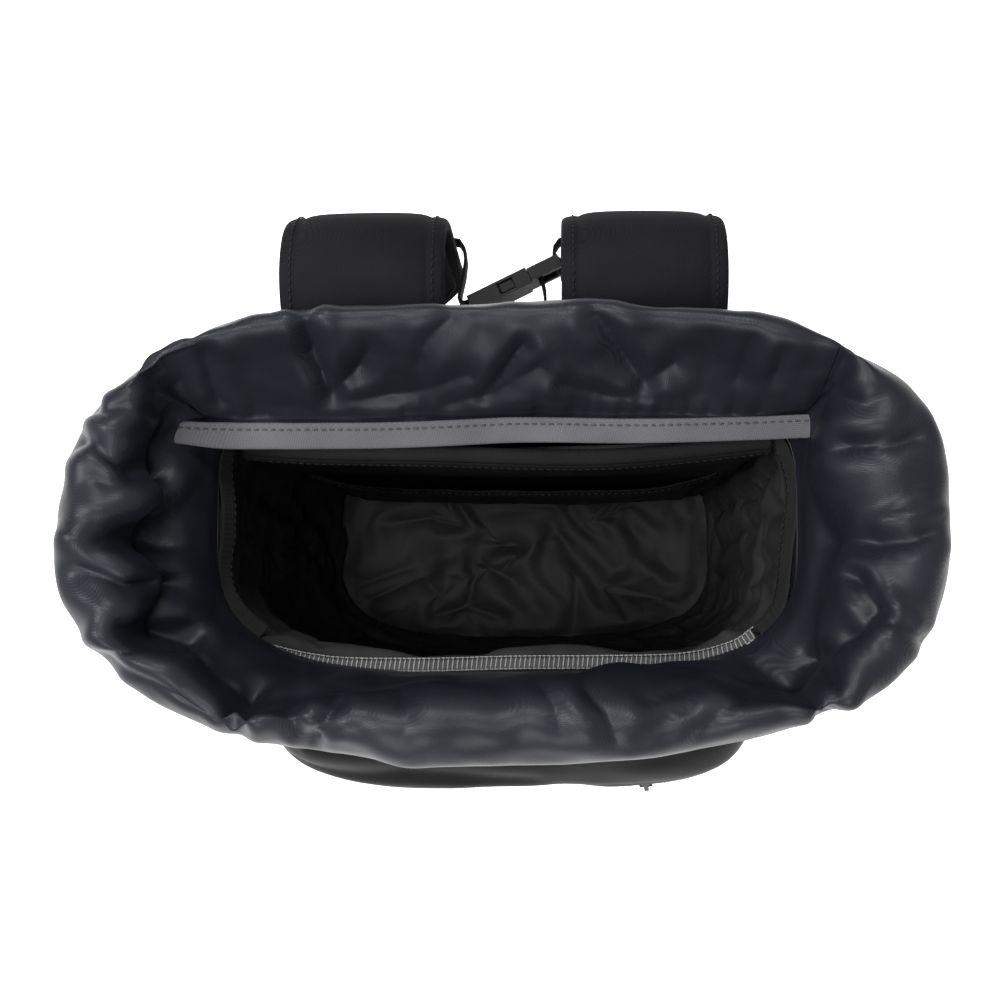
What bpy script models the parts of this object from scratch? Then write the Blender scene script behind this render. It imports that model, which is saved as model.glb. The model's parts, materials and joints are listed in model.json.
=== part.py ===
"""Roll-top backpack, standing open, with its collar turned outwards into a cuff.

Metres, +Z up, +X to the right seen from the front, -Y the front pocket, +Y the shoulder straps.
The origin is the centre of the underside of the base.
"""

import math

import bmesh
import bpy
from mathutils import Matrix, Vector

# ---------------------------------------------------------------- driving sizes

GAP = 0.0003  # between pieces that touch
RUN = 0.0004  # between pieces that slide on each other

BODY_HALF_WIDTH = 0.138
BASE_HALF_WIDTH = BODY_HALF_WIDTH - 0.008
BODY_FRONT_Y = -0.068
BASE_FRONT_Y = BODY_FRONT_Y + 0.012
BODY_BACK_Y = 0.070
WALL = 0.002
BASE_THICK = 0.006
BASE_ROUNDING = 0.0025
SEAM_Z = 0.405  # where walls, lining and collar are sewn together
BODY_FULL_Z = 0.120  # the walls have their full width above this
DRAWN_IN_Z = SEAM_Z - 0.045  # the walls draw in above this, up to the seam
BODY_SQUARE_BACK = 5.0  # superellipse exponents of the plan
BODY_SQUARE_FRONT = 3.2

LINING = 0.0008
LINING_SLACK = 0.005  # the lining hangs this far inside the wall
LINING_FLOOR_Z = BASE_THICK + GAP

POCKET_DEPTH = 0.045
POCKET_HALF_ANGLE = 55.0  # degrees each side of the front
POCKET_TOP_Z = SEAM_Z - 0.017
POCKET_WALL = 0.0016
POCKET_OFFSET = 0.0032  # from the wall to the outer face at the pocket's edge

ZIP_X = 0.066
ZIP_LOW_Z = 0.100
ZIP_HIGH_Z = POCKET_TOP_Z - 0.073
ZIP_SLOT = 0.009
ZIP_COIL_WIDTH = 0.0052
ZIP_COIL_THICK = 0.0022
ZIP_TAPE_WIDTH = 0.026
ZIP_TAPE_THICK = 0.0008
SLIDER_LENGTH = 0.011
SLIDER_PLATE = 0.0012
SLIDER_TOP_Z = ZIP_HIGH_Z - 0.008
PULL_LENGTH = 0.026
PULL_WIDTH = 0.0065
PULL_THICK = 0.0010

SIDE_POCKET_TOP_Z = 0.190
SIDE_POCKET_BULGE = 0.018
SIDE_POCKET_WALL = 0.0014
SIDE_HEM = 0.010
SIDE_POCKET_HALF_ANGLE = 33.0
SIDE_POCKET_TURN = 2.0  # its middle lies this many degrees behind the middle of the side
SIDE_POCKET_FULL_Z = 0.080  # its full bulge is above this

BACK_PANEL_HALF_WIDTH = BODY_HALF_WIDTH - 0.026
BACK_PANEL_THICK = 0.0095
BACK_PANEL_TOP_Z = SEAM_Z + 0.0138
BACK_FACE_Y = BODY_BACK_Y + BACK_PANEL_THICK  # what the straps are set out from
PAD_THICK = 0.0075
PAD_RIM = 0.002  # thickness of a pad at its edge
PAD_X = 0.058  # middle of each long pad
PAD_WIDTH = 0.078
PAD_LOW_Z = 0.150
PAD_HIGH_Z = SEAM_Z - 0.010
LUMBAR_WIDTH = 2 * (BACK_PANEL_HALF_WIDTH - 0.023)
LUMBAR_LOW_Z = 0.040
LUMBAR_HIGH_Z = 0.138

SLEEVE_Y = BODY_BACK_Y - 0.025  # middle of the padded divider
SLEEVE_THICK = 0.006
SLEEVE_HALF_WIDTH = BODY_HALF_WIDTH - 0.0205
SLEEVE_TOP_Z = SEAM_Z - 0.001
SLIP_TOP_Z = 0.285
SLIP_LOW_Z = 0.030
SLIP_HALF_WIDTH = SLEEVE_HALF_WIDTH - 0.0125
SLIP_BULGE = 0.009

FLAP_HINGE_Z = SEAM_Z + 0.0510  # the seam that the flap hangs from and turns on
FLAP_HINGE_HALF = BODY_HALF_WIDTH - 0.028
FLAP_EDGE = (BODY_BACK_Y - 0.0210, SEAM_Z + 0.0240)  # y, z
FLAP_EDGE_HALF = BODY_HALF_WIDTH + 0.002
FLAP_THICK = 0.0012
BINDING_HEIGHT = 0.010
BINDING_THICK = 0.0024

COLLAR_WALL = 0.0014
# The collar from its seam over the crest to its hem, set out from the body: what is added to its
# half width, front y and back y, and to the seam's height at the sides, in front and behind, with
# the exponents of the front and back of the plan.
COLLAR_SHAPE = (
    (-0.0070, 0.0070, -0.0035, 0.0012, 0.0012, 0.0150, 3.2, 5),
    (-0.0010, 0.0067, -0.0030, 0.0050, 0.0050, 0.0190, 3.2, 5),
    (0.0140, 0.0050, 0.0000, 0.0210, 0.0230, 0.0330, 2.9, 4.6),
    (0.0250, -0.0020, 0.0050, 0.0470, 0.0490, 0.0535, 2.7, 3.8),
    (0.0330, -0.0110, 0.0120, 0.0690, 0.0690, 0.0700, 2.5, 3.2),
    (0.0385, -0.0180, 0.0190, 0.0735, 0.0720, 0.0730, 2.45, 3),
    (0.0430, -0.0225, 0.0240, 0.0630, 0.0610, 0.0650, 2.45, 2.85),
    (0.0440, -0.0235, 0.0255, 0.0450, 0.0430, 0.0590, 2.45, 2.85),
    (0.0425, -0.0220, 0.0245, 0.0120, 0.0150, 0.0565, 2.45, 2.85),
)
COLLAR_FROM = (BODY_HALF_WIDTH, BODY_FRONT_Y, BODY_BACK_Y, SEAM_Z, SEAM_Z, SEAM_Z, 0.0, 0.0)
COLLAR_RINGS = tuple(tuple(start + added for start, added in zip(COLLAR_FROM, ring)) for ring in COLLAR_SHAPE)
HEM_DROP = (0.0115, 0.0115, 0.0060)  # sides, front, back
COLLAR_SEAM_ANGLES = (48.0, 132.0, 222.0, 318.0)  # degrees, the four seams between its panels

STRAP_THICK = 0.012
STRAP_INNER_X = 0.0245
STRAP_WIDTH = 0.070
STRAP_END_WIDTH = 0.042
STRAP_FACE_Y = BACK_FACE_Y + 0.0605  # middle of the strap where it hangs straight
# y, z of the strap's middle line, from the back panel over the crest to its lower end
STRAP_LINE = (
    (BACK_FACE_Y + 0.0090, SEAM_Z + 0.0030),
    (BACK_FACE_Y + 0.0105, SEAM_Z + 0.0190),
    (BACK_FACE_Y + 0.0185, SEAM_Z + 0.0320),
    (BACK_FACE_Y + 0.0325, SEAM_Z + 0.0370),
    (BACK_FACE_Y + 0.0465, SEAM_Z + 0.0320),
    (BACK_FACE_Y + 0.0555, SEAM_Z + 0.0190),
    (STRAP_FACE_Y, SEAM_Z - 0.0030),
    (STRAP_FACE_Y, SEAM_Z - 0.0450),
    (STRAP_FACE_Y, SEAM_Z - 0.0850),
    (STRAP_FACE_Y, SEAM_Z - 0.1250),
    (STRAP_FACE_Y - 0.0030, SEAM_Z - 0.1700),
    (STRAP_FACE_Y - 0.0080, SEAM_Z - 0.2100),
    (STRAP_FACE_Y - 0.0140, SEAM_Z - 0.2400),
)
STRAP_TAPER_Z = SEAM_Z - 0.115  # the strap is at full width above this
STRAP_END_X = 0.080  # middle of the strap's lower end

RAIL_LOW_Z = SEAM_Z - 0.119
RAIL_HIGH_Z = SEAM_Z - 0.034
RAIL_WIDTH = 0.014
RAIL_THICK = 0.0014
RAIL_STANDOFF = 0.0042  # free space between the strap and the rail webbing
RAIL_X = STRAP_INNER_X + STRAP_WIDTH / 2

STERNUM_Z = SEAM_Z - 0.065
STERNUM_WEB = 0.015
WEB_THICK = 0.0014
# where the buckle's two halves meet, behind the straps
BUCKLE_MOUTH = (0.0100, STRAP_FACE_Y - STRAP_THICK / 2 - 0.0100, STERNUM_Z + 0.0240)
BUCKLE_TURN = 26.0  # degrees from the X axis, seen from above
BUCKLE_CHEEK = 0.0043  # each side of the web
BUCKLE_SHELL = 0.0024
BUCKLE_BASE = 0.0155
BUCKLE_BASE_THICK = 0.0062
BUCKLE_LENGTH = 0.0300
BUCKLE_THICK = 0.0078
BUCKLE_CAVITY = 0.0195
BUCKLE_WINDOW = 0.0118
BUCKLE_PRONG = 0.0165
PRONG_WIDTH = 0.0026
PRONG_THICK = 0.0038
WEB_BAR = 0.0028  # thickness of the bars that webs turn round
FEMALE_BAR = 0.0282  # from the mouth to the near edge of the rear bar
SLOT = 0.0032
SLOT_NEAR = 0.0052
SLOT_FAR = 0.0115
SLIDER_WALL = 0.0016
RAIL_Y = STRAP_FACE_Y + STRAP_THICK / 2 + RAIL_STANDOFF + RAIL_THICK / 2
# The slack webs' way round the strap's inner edge to the buckle: how far past that edge towards the
# middle of the pack, off one of the strap's faces, and above the slider. The first few points are
# measured from the outer face and the others from the inner one.
SLACK_OUTER_POINTS = 3
SLACK_LEFT = (
    (-0.0045, 0.0015, 0.0000),
    (0.0005, 0.0006, 0.0000),
    (0.0028, -0.0030, 0.0000),
    (0.0036, 0.0030, 0.0020),
    (0.0030, -0.0050, 0.0060),
    (0.0017, -0.0130, 0.0110),
    (0.0013, -0.0180, 0.0160),
    (0.0025, -0.0207, 0.0200),
)
SLACK_RIGHT = (
    (-0.0045, 0.0015, 0.0000),
    (0.0005, 0.0006, 0.0000),
    (0.0028, -0.0030, 0.0020),
    (0.0032, 0.0050, 0.0060),
    (0.0015, 0.0017, 0.0100),
    (-0.0013, -0.0010, 0.0140),
    (-0.0045, -0.0018, 0.0180),
    (-0.0063, -0.0032, 0.0210),
    (-0.0057, -0.0046, 0.0230),
    (-0.0037, -0.0052, 0.0240),
)

LADDER_WIDTH = 0.031
LADDER_HEIGHT = 0.027
LADDER_THICK = 0.0045
LADDER_BAR = 0.0042
LADDER_CHEEK = 0.0035
LOWER_WEB = 0.020
TAB_X = BACK_PANEL_HALF_WIDTH - 0.008
TAB_Z = 0.034
TAB_THICK = 0.0026
TAB_LEAN = 0.20  # how far the tab stands off the back panel for each unit upwards

HAUL_HALF_WIDTH = 0.0180
HAUL_SEAM_Z = BACK_PANEL_TOP_Z - 0.0068
HAUL_DROP = 0.0280
HAUL_WEB = 0.012
HAUL_THICK = 0.0024

CLOSURE_X = BODY_HALF_WIDTH + 0.0425
CLOSURE_HINGE_Z = SEAM_Z + 0.0002
CLOSURE_DROP = 0.030
CLOSURE_WEB = 0.020

BLACK_NYLON = ((0.030, 0.031, 0.037), 0.42, 0.0)
COATED_CLOTH = ((0.016, 0.016, 0.017), 0.34, 0.0)
LINING_CLOTH = ((0.022, 0.023, 0.023), 0.55, 0.0)
MATT_CLOTH = ((0.022, 0.022, 0.026), 0.80, 0.0)
MESH_CLOTH = ((0.012, 0.012, 0.013), 0.90, 0.0)
GREY_TAPE = ((0.110, 0.108, 0.115), 0.70, 0.0)
WEBBING = ((0.014, 0.014, 0.016), 0.75, 0.0)
ACETAL = ((0.018, 0.020, 0.024), 0.38, 0.0)
ZIP_METAL = ((0.050, 0.050, 0.054), 0.35, 0.9)


# ---------------------------------------------------------------- scene helpers


def clear_scene():
    for obj in list(bpy.data.objects):
        bpy.data.objects.remove(obj)


def new_collection(name, hidden=False):
    collection = bpy.data.collections.new(name)
    bpy.context.scene.collection.children.link(collection)
    collection.hide_render = hidden
    return collection


def make_material(name, look):
    colour, roughness, metallic = look
    material = bpy.data.materials.new(name)
    material.use_nodes = True
    shader = material.node_tree.nodes["Principled BSDF"]
    shader.inputs["Base Color"].default_value = (*colour, 1.0)
    shader.inputs["Roughness"].default_value = roughness
    shader.inputs["Metallic"].default_value = metallic
    return material


def add_object(name, data, material):
    obj = bpy.data.objects.new(name, data)
    PARTS.objects.link(obj)
    data.materials.append(material)
    return obj


def from_bmesh(name, bm, material):
    mesh = bpy.data.meshes.new(name)
    bmesh.ops.recalc_face_normals(bm, faces=bm.faces)
    bm.to_mesh(mesh)
    bm.free()
    return add_object(name, mesh, material)


def shade(obj, angle=35.0):
    obj.data.shade_smooth()
    obj.data.set_sharp_from_angle(angle=math.radians(angle))
    return obj


def solidify(obj, thickness, offset=0.0):
    """offset -1 grows against the normals, 0 both ways, 1 along them."""
    modifier = obj.modifiers.new("Thickness", "SOLIDIFY")
    modifier.thickness = thickness
    modifier.offset = offset
    modifier.use_even_offset = True
    return obj


def bevel(obj, width, segments=2, angle=40.0):
    modifier = obj.modifiers.new("Rounding", "BEVEL")
    modifier.width = width
    modifier.segments = segments
    modifier.limit_method = "ANGLE"
    modifier.angle_limit = math.radians(angle)
    return obj


def cut(obj, cutter, operation="DIFFERENCE"):
    modifier = obj.modifiers.new("Cut", "BOOLEAN")
    modifier.operation = operation
    modifier.object = cutter
    return obj


def box_bmesh(size, centre=(0.0, 0.0, 0.0)):
    bm = bmesh.new()
    bmesh.ops.create_cube(bm, size=1.0)
    bmesh.ops.scale(bm, vec=size, verts=bm.verts)
    bmesh.ops.translate(bm, vec=centre, verts=bm.verts)
    return bm


def box(name, size, centre, material):
    return from_bmesh(name, box_bmesh(size, centre), material)


def add_box(bm, size, centre):
    made = bmesh.ops.create_cube(bm, size=1.0)["verts"]
    bmesh.ops.scale(bm, vec=size, verts=made)
    bmesh.ops.translate(bm, vec=centre, verts=made)


def box_cutter(name, boxes, matrix=None):
    """One hidden cutter made of several boxes, each given as (size, centre)."""
    bm = bmesh.new()
    for size, centre in boxes:
        add_box(bm, size, centre)
    mesh = bpy.data.meshes.new(name)
    bm.to_mesh(mesh)
    bm.free()
    cutter = bpy.data.objects.new(name, mesh)
    CUTTERS.objects.link(cutter)
    cutter.hide_render = True
    cutter.display_type = "WIRE"
    if matrix is not None:
        cutter.matrix_world = matrix
    return cutter


def loft(name, rows, material, closed=False, smooth_angle=35.0):
    """An open surface through rows of points, each row with as many points."""
    bm = bmesh.new()
    made = [[bm.verts.new(point) for point in row] for row in rows]
    across = len(rows[0]) if closed else len(rows[0]) - 1
    for low, high in zip(made, made[1:]):
        for i in range(across):
            j = (i + 1) % len(low)
            bm.faces.new((low[i], low[j], high[j], high[i]))
    mesh = bpy.data.meshes.new(name)
    bm.to_mesh(mesh)
    bm.free()
    return shade(add_object(name, mesh, material), smooth_angle)


def smooth_line(points, steps):
    """Points of a Catmull-Rom curve through the given points, steps to each stretch."""
    points = [Vector(p) for p in points]
    padded = [2 * points[0] - points[1], *points, 2 * points[-1] - points[-2]]
    line = []
    for a, b, c, d in zip(padded, padded[1:], padded[2:], padded[3:]):
        for i in range(steps):
            t = i / steps
            bend = (2 * a - 5 * b + 4 * c - d) * t**2 + (3 * b - a - 3 * c + d) * t**3
            line.append(0.5 * (2 * b + (c - a) * t + bend))
    line.append(points[-1])
    return line


def ribbon(name, line, width, thickness, across, material):
    """A flat strip along a line, its width in one direction throughout."""
    half = Vector(across).normalized() * width / 2
    obj = loft(name, [[p - half, p + half] for p in line], material)
    return solidify(obj, thickness)


# ---------------------------------------------------------------- plan outlines


def blend(a, b, share):
    share = min(1.0, max(0.0, share))
    return a + (b - a) * share * share * (3 - 2 * share)


def oval(angle, half_width, front_y, back_y, front_power, back_power):
    """A point of a superellipse in plan; 0 degrees is +X and 90 is the back."""
    c, s = math.cos(math.radians(angle)), math.sin(math.radians(angle))
    power = 2.0 / (back_power if s >= 0 else front_power)
    middle, depth = (front_y + back_y) / 2, (back_y - front_y) / 2
    return (
        math.copysign(abs(c) ** power, c) * half_width,
        middle + math.copysign(abs(s) ** power, s) * depth,
    )


def wall_size(z):
    """Half width and front y of the outer wall at a height."""
    share = z / BODY_FULL_Z
    half = blend(BASE_HALF_WIDTH, BODY_HALF_WIDTH, share)
    front = blend(BASE_FRONT_Y, BODY_FRONT_Y, share)
    drawn_in = blend(0.0, 0.005, (z - DRAWN_IN_Z) / (SEAM_Z - DRAWN_IN_Z))
    return half - drawn_in, front + drawn_in


def wall_point(angle, z, outwards=0.0):
    half, front = wall_size(z)
    x, y = oval(
        angle,
        half + outwards,
        front - outwards,
        BODY_BACK_Y + outwards,
        BODY_SQUARE_FRONT,
        BODY_SQUARE_BACK,
    )
    return Vector((x, y, z))


def angles_between(start, end, count, gap, radius=0.11):
    """Angles from start to end, drawn in so that the strip leaves a gap at each end."""
    trim = math.degrees(gap / radius)
    low, high = start + trim, end - trim
    return [low + (high - low) * i / (count - 1) for i in range(count)]


def wall_strip(name, start, end, count, heights, inset, thickness, material):
    rows = [[wall_point(a, z, -inset) for a in angles_between(start, end, count, GAP)] for z in heights]
    return solidify(loft(name, rows, material), thickness, -1.0)


# ---------------------------------------------------------------- main body


WALL_HEIGHTS = (
    BASE_THICK + GAP,
    0.030,
    0.070,
    BODY_FULL_Z,
    (BODY_FULL_Z + DRAWN_IN_Z) / 2,
    DRAWN_IN_Z,
    SEAM_Z - 0.022,
    SEAM_Z - GAP,
)
FRONT_SEAMS = (232.0, 308.0)
BACK_SEAMS = (62.0, 118.0)
LINING_SEAMS = (50.0, 130.0, 230.0, 310.0)


def sheet_bmesh(ring, thickness):
    """A level sheet over a ring of points, grown upwards."""
    bm = bmesh.new()
    face = bm.faces.new([bm.verts.new(p) for p in ring])
    moved = bmesh.ops.extrude_face_region(bm, geom=[face])["geom"]
    grown = [v for v in moved if isinstance(v, bmesh.types.BMVert)]
    bmesh.ops.translate(bm, vec=(0, 0, thickness), verts=grown)
    return bm


def build_base():
    ring = [wall_point(a, 0.0) for a in range(0, 360, 6)]
    base = from_bmesh("base_panel", sheet_bmesh(ring, BASE_THICK), COATED)
    return shade(bevel(base, BASE_ROUNDING, 2))


def build_walls():
    left, right = BACK_SEAMS[1], BACK_SEAMS[0]
    wall_strip("front_panel", *FRONT_SEAMS, 13, WALL_HEIGHTS, 0.0, WALL, COATED)
    wall_strip("side_panel_left", left, FRONT_SEAMS[0], 17, WALL_HEIGHTS, 0.0, WALL, COATED)
    wall_strip("side_panel_right", FRONT_SEAMS[1] - 360, right, 17, WALL_HEIGHTS, 0.0, WALL, COATED)


def build_lining():
    """Four sewn panels and a floor, hung inside the walls."""
    bottom = LINING_FLOOR_Z + LINING + GAP
    heights = (bottom, 0.060, BODY_FULL_Z, (BODY_FULL_Z + DRAWN_IN_Z) / 2, DRAWN_IN_Z, SEAM_Z - GAP)
    inset = WALL + LINING_SLACK - 0.002
    a, b, c, d = LINING_SEAMS
    wall_strip("lining_back", a, b, 9, heights, inset, LINING, LINED)
    wall_strip("lining_left", b, c, 15, heights, inset, LINING, LINED)
    wall_strip("lining_front", c, d, 11, heights, inset, LINING, LINED)
    wall_strip("lining_right", d - 360, a, 15, heights, inset, LINING, LINED)
    ring = [wall_point(angle, LINING_FLOOR_Z, -inset) for angle in range(0, 360, 9)]
    return from_bmesh("lining_floor", sheet_bmesh(ring, LINING), LINED)


def build_seam_bindings():
    """The bound seams that run up inside, where the side lining meets the collar."""
    inset = WALL + LINING_SLACK - 0.002 + LINING + GAP
    for side, middle in (("left", 180.0), ("right", 0.0)):
        angles = [middle - 30 + 60 * i / 10 for i in range(11)]
        rows = [[wall_point(a, z, -inset) for a in angles] for z in (SEAM_Z - 0.013, SEAM_Z - 0.0012)]
        solidify(loft(f"seam_binding_{side}", rows, BINDING_DARK), 0.0016, -1.0)


def build_back_panel():
    low = BASE_THICK + GAP
    height = BACK_PANEL_TOP_Z - low
    size = (2 * BACK_PANEL_HALF_WIDTH, BACK_PANEL_THICK, height)
    y = wall_point(BACK_SEAMS[0], low).y + GAP + BACK_PANEL_THICK / 2
    panel = box("back_panel", size, (0, y, low + height / 2), MATT)
    shade(bevel(panel, 0.0035, 2))
    return y + BACK_PANEL_THICK / 2


def build_back_pads(face_y):
    """Two long foam ribs and a lumbar pad, crowned, with rounded corners."""
    pads = (
        ("back_pad_left", -PAD_X, PAD_WIDTH, PAD_LOW_Z, PAD_HIGH_Z),
        ("back_pad_right", PAD_X, PAD_WIDTH, PAD_LOW_Z, PAD_HIGH_Z),
        ("lumbar_pad", 0.0, LUMBAR_WIDTH, LUMBAR_LOW_Z, LUMBAR_HIGH_Z),
    )
    for name, x, width, low, high in pads:
        rows = []
        for v in (-1.0, -0.92, -0.7, 0.0, 0.7, 0.92, 1.0):
            row = []
            for u in (-1.0, -0.9, -0.6, 0.0, 0.6, 0.9, 1.0):
                crown = (1 - abs(u) ** 4) * (1 - abs(v) ** 6)
                pull = 1 - 0.10 * max(0.0, abs(v) - 0.7) / 0.3 * abs(u)
                y = face_y + GAP + PAD_RIM + crown * (PAD_THICK - PAD_RIM)
                row.append((x + u * pull * width / 2, y, blend_z(low, high, v)))
            rows.append(row)
        pad = loft(name, rows, MESHED)
        flat_back(pad, face_y + GAP)


def blend_z(low, high, v):
    return (low + high) / 2 + v * (high - low) / 2


def flat_back(obj, y):
    """Closes a bulged sheet with a flat back: its rim is carried straight back to the plane."""
    bm = bmesh.new()
    bm.from_mesh(obj.data)
    rim = [e for e in bm.edges if e.is_boundary]
    made = bmesh.ops.extrude_edge_only(bm, edges=rim)["geom"]
    back = [v for v in made if isinstance(v, bmesh.types.BMVert)]
    for v in back:
        v.co.y = y
    bmesh.ops.contextual_create(bm, geom=[e for e in made if isinstance(e, bmesh.types.BMEdge)])
    bmesh.ops.recalc_face_normals(bm, faces=bm.faces)
    bm.to_mesh(obj.data)
    bm.free()
    shade(obj)


# ---------------------------------------------------------------- front pocket and zip


def pocket_reach(z):
    """How far the pocket stands off the front at a height; straight along the zip."""
    low = blend(0.0, POCKET_DEPTH, (z - 0.004) / 0.030) if z < 0.034 else POCKET_DEPTH
    return low * blend(1.0, 0.0, (z - (ZIP_HIGH_Z + 0.012)) / (POCKET_TOP_Z - ZIP_HIGH_Z - 0.012))


def pocket_point(angle, z, inwards=0.0):
    share = (angle - 270.0) / POCKET_HALF_ANGLE
    push = (1 - abs(share) ** 8) * pocket_reach(z)
    base_z = max(z, BODY_FULL_Z)
    foot = wall_point(angle, z, POCKET_OFFSET)
    full = wall_point(angle, base_z, POCKET_OFFSET)
    # below its full height the wall draws in, but the pocket hangs straight
    x = foot.x + (full.x - foot.x) * min(1.0, push / POCKET_DEPTH)
    y = foot.y + (full.y - foot.y) * min(1.0, push / POCKET_DEPTH) - push
    return Vector((x, y + inwards, z))


def pocket_face_y(x):
    """y of the pocket's outer face on its straight stretch, at a distance from the middle."""
    low, high = 270.0, 270.0 + POCKET_HALF_ANGLE
    for _ in range(40):
        middle = (low + high) / 2
        if pocket_point(middle, BODY_FULL_Z).x < x:
            low = middle
        else:
            high = middle
    return pocket_point(low, BODY_FULL_Z).y


def build_front_pocket():
    low = (0.0085, 0.0095, 0.013, 0.020, 0.034, 0.080, 0.200)
    straight_z = ZIP_HIGH_Z + 0.010
    high = (straight_z + (POCKET_TOP_Z - straight_z) * share for share in (0.0, 0.25, 0.52, 0.77, 1.0))
    half = (0.25, 0.5, 0.68, 0.79, 0.87, 0.93, 0.97, 1.0)
    shares = (*(-share for share in reversed(half)), 0.0, *half)
    rows = [[pocket_point(270.0 + POCKET_HALF_ANGLE * s, z) for s in shares] for z in (*low, *high)]
    pocket = solidify(loft("front_pocket", rows, COATED, smooth_angle=50.0), POCKET_WALL, -1.0)
    slot = ((ZIP_SLOT, 0.030, ZIP_HIGH_Z - ZIP_LOW_Z), (0, 0, 0))
    cut(pocket, box_cutter("zip_slot", [slot], zip_matrix()))


def zip_matrix():
    """Frame of the zip: origin on the pocket's face, local x along the face, local y into the pocket."""
    lean = math.atan2(pocket_face_y(ZIP_X + 0.004) - pocket_face_y(ZIP_X - 0.004), 0.008)
    place = Matrix.Translation((ZIP_X, pocket_face_y(ZIP_X), (ZIP_HIGH_Z + ZIP_LOW_Z) / 2))
    return place @ Matrix.Rotation(lean, 4, "Z")


def build_zip(matrix):
    """Tape behind the slot, coil in it, and the slider with its pull."""
    height = ZIP_HIGH_Z - ZIP_LOW_Z
    build_zip_tape(height)
    coil_y = POCKET_WALL + GAP - ZIP_COIL_THICK / 2
    coil = box("zip_coil", (ZIP_COIL_WIDTH, ZIP_COIL_THICK, height - 0.004), (0, coil_y, 0), ZIP_CLOTH)
    bevel(coil, 0.0008, 2)
    coil.matrix_world = matrix
    front_y = coil_y - ZIP_COIL_THICK / 2
    slider_z = SLIDER_TOP_Z - SLIDER_LENGTH / 2 - (ZIP_HIGH_Z + ZIP_LOW_Z) / 2
    build_slider(matrix, front_y, slider_z)
    build_pull(matrix, front_y - RUN - SLIDER_PLATE, slider_z)


def build_zip_tape(height):
    """The tape bends with the pocket's face and is sewn to its inner side."""
    rows = []
    inset = POCKET_WALL * 1.12 + 2 * GAP
    for z in (ZIP_LOW_Z - 0.006, ZIP_HIGH_Z + 0.006):
        row = []
        for i in range(7):
            x = ZIP_X + ZIP_TAPE_WIDTH * (i / 6 - 0.5)
            row.append((x, pocket_face_y(x) + inset, z))
        rows.append(row)
    return solidify(loft("zip_tape", rows, ZIP_CLOTH), ZIP_TAPE_THICK, -1.0)


def build_slider(matrix, front_y, z):
    """A channel over the coil with a bridge on top that the pull hangs from."""
    width = ZIP_COIL_WIDTH + 2 * (SLIDER_PLATE + RUN)
    depth = SLIDER_PLATE + RUN + ZIP_COIL_THICK * 0.6
    face_y = front_y - RUN - SLIDER_PLATE
    slider = box("zip_slider", (width, depth, SLIDER_LENGTH), (0, face_y + depth / 2, z), ZINC)
    slider.matrix_world = matrix
    channel = (width - 2 * SLIDER_PLATE, depth, SLIDER_LENGTH * 2)
    channel_y = face_y + SLIDER_PLATE + depth / 2
    cut(slider, box_cutter("slider_channel", [(channel, (0, channel_y, z))], matrix))
    bridge = ((0.0022, 0.0040, 0.0080), (0, face_y - 0.0014, z))
    cut(slider, box_cutter("slider_bridge", [bridge], matrix), "UNION")
    eye = ((0.006, PULL_THICK + 2 * RUN, 0.0048), (0, face_y - 0.0003 - (PULL_THICK + 2 * RUN) / 2, z))
    cut(slider, box_cutter("slider_eye", [eye], matrix))


def build_pull(matrix, face_y, slider_z):
    """A flat tab with a hole at its top that rides in the slider's eye."""
    y = face_y - 0.0003 - RUN - PULL_THICK / 2
    top = slider_z + 0.0017
    pull = box("zip_pull", (PULL_WIDTH, PULL_THICK, PULL_LENGTH), (0, y, top - PULL_LENGTH / 2), ZINC)
    pull.matrix_world = matrix
    eye = ((0.0034, 0.006, 0.0085), (0, y, top - 0.0012 - 0.0085 / 2))
    window = ((0.0030, 0.006, 0.0080), (0, y, top - PULL_LENGTH + 0.0075))
    cut(pull, box_cutter("pull_holes", [eye, window], matrix))
    bevel(pull, 0.0003, 1)


# ---------------------------------------------------------------- side pockets


def side_pocket_point(sign, share, z):
    """A point of a side pocket's outer face; share runs from -1 to 1 between its two side seams."""
    angle = (0.0 if sign > 0 else 180.0) + sign * (share * SIDE_POCKET_HALF_ANGLE + SIDE_POCKET_TURN)
    lift = blend(0.1, 1.0, z / SIDE_POCKET_FULL_Z) * (1 - abs(share) ** 4)
    foot = wall_point(angle, z, SIDE_POCKET_WALL + 2 * GAP)
    return foot + Vector((sign * SIDE_POCKET_BULGE * lift, 0, 0))


def build_side_pockets():
    """Open-topped bottle pockets of stretch cloth with a bound upper edge."""
    hem_low = SIDE_POCKET_TOP_Z - SIDE_HEM
    heights = (0.0095, 0.016, 0.040, 0.090, 0.140, hem_low)
    shares = [-1.0 + 2.0 * i / 14 for i in range(15)]
    hem_heights = (hem_low + GAP, SIDE_POCKET_TOP_Z)
    for side, sign in (("left", -1), ("right", 1)):
        rows = [[side_pocket_point(sign, share, z) for share in shares] for z in heights]
        solidify(loft(f"side_pocket_{side}", rows, STRETCH), SIDE_POCKET_WALL, -sign)
        rows = [[side_pocket_point(sign, share, z) for share in shares] for z in hem_heights]
        solidify(loft(f"side_pocket_hem_{side}", rows, WEB), SIDE_POCKET_WALL + 0.0004, -sign)


# ---------------------------------------------------------------- collar


def collar_point(ring, angle):
    half, front, back, z_side, z_front, z_back, front_power, back_power = ring
    x, y = oval(angle, half, front, back, front_power, back_power)
    s = math.sin(math.radians(angle))
    end = z_back if s > 0 else z_front
    weight = blend(0.0, 1.0, abs(s) / 0.95)
    return Vector((x, y, z_side + (end - z_side) * weight))


def collar_panels():
    a, b, c, d = COLLAR_SEAM_ANGLES
    panels = (
        ("collar_right", d - 360, a, 15),
        ("collar_back", a, b, 11),
        ("collar_left", b, c, 15),
        ("collar_front", c, d, 13),
    )
    return [(name, angles_between(start, end, count, GAP, 0.15)) for name, start, end, count in panels]


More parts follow.
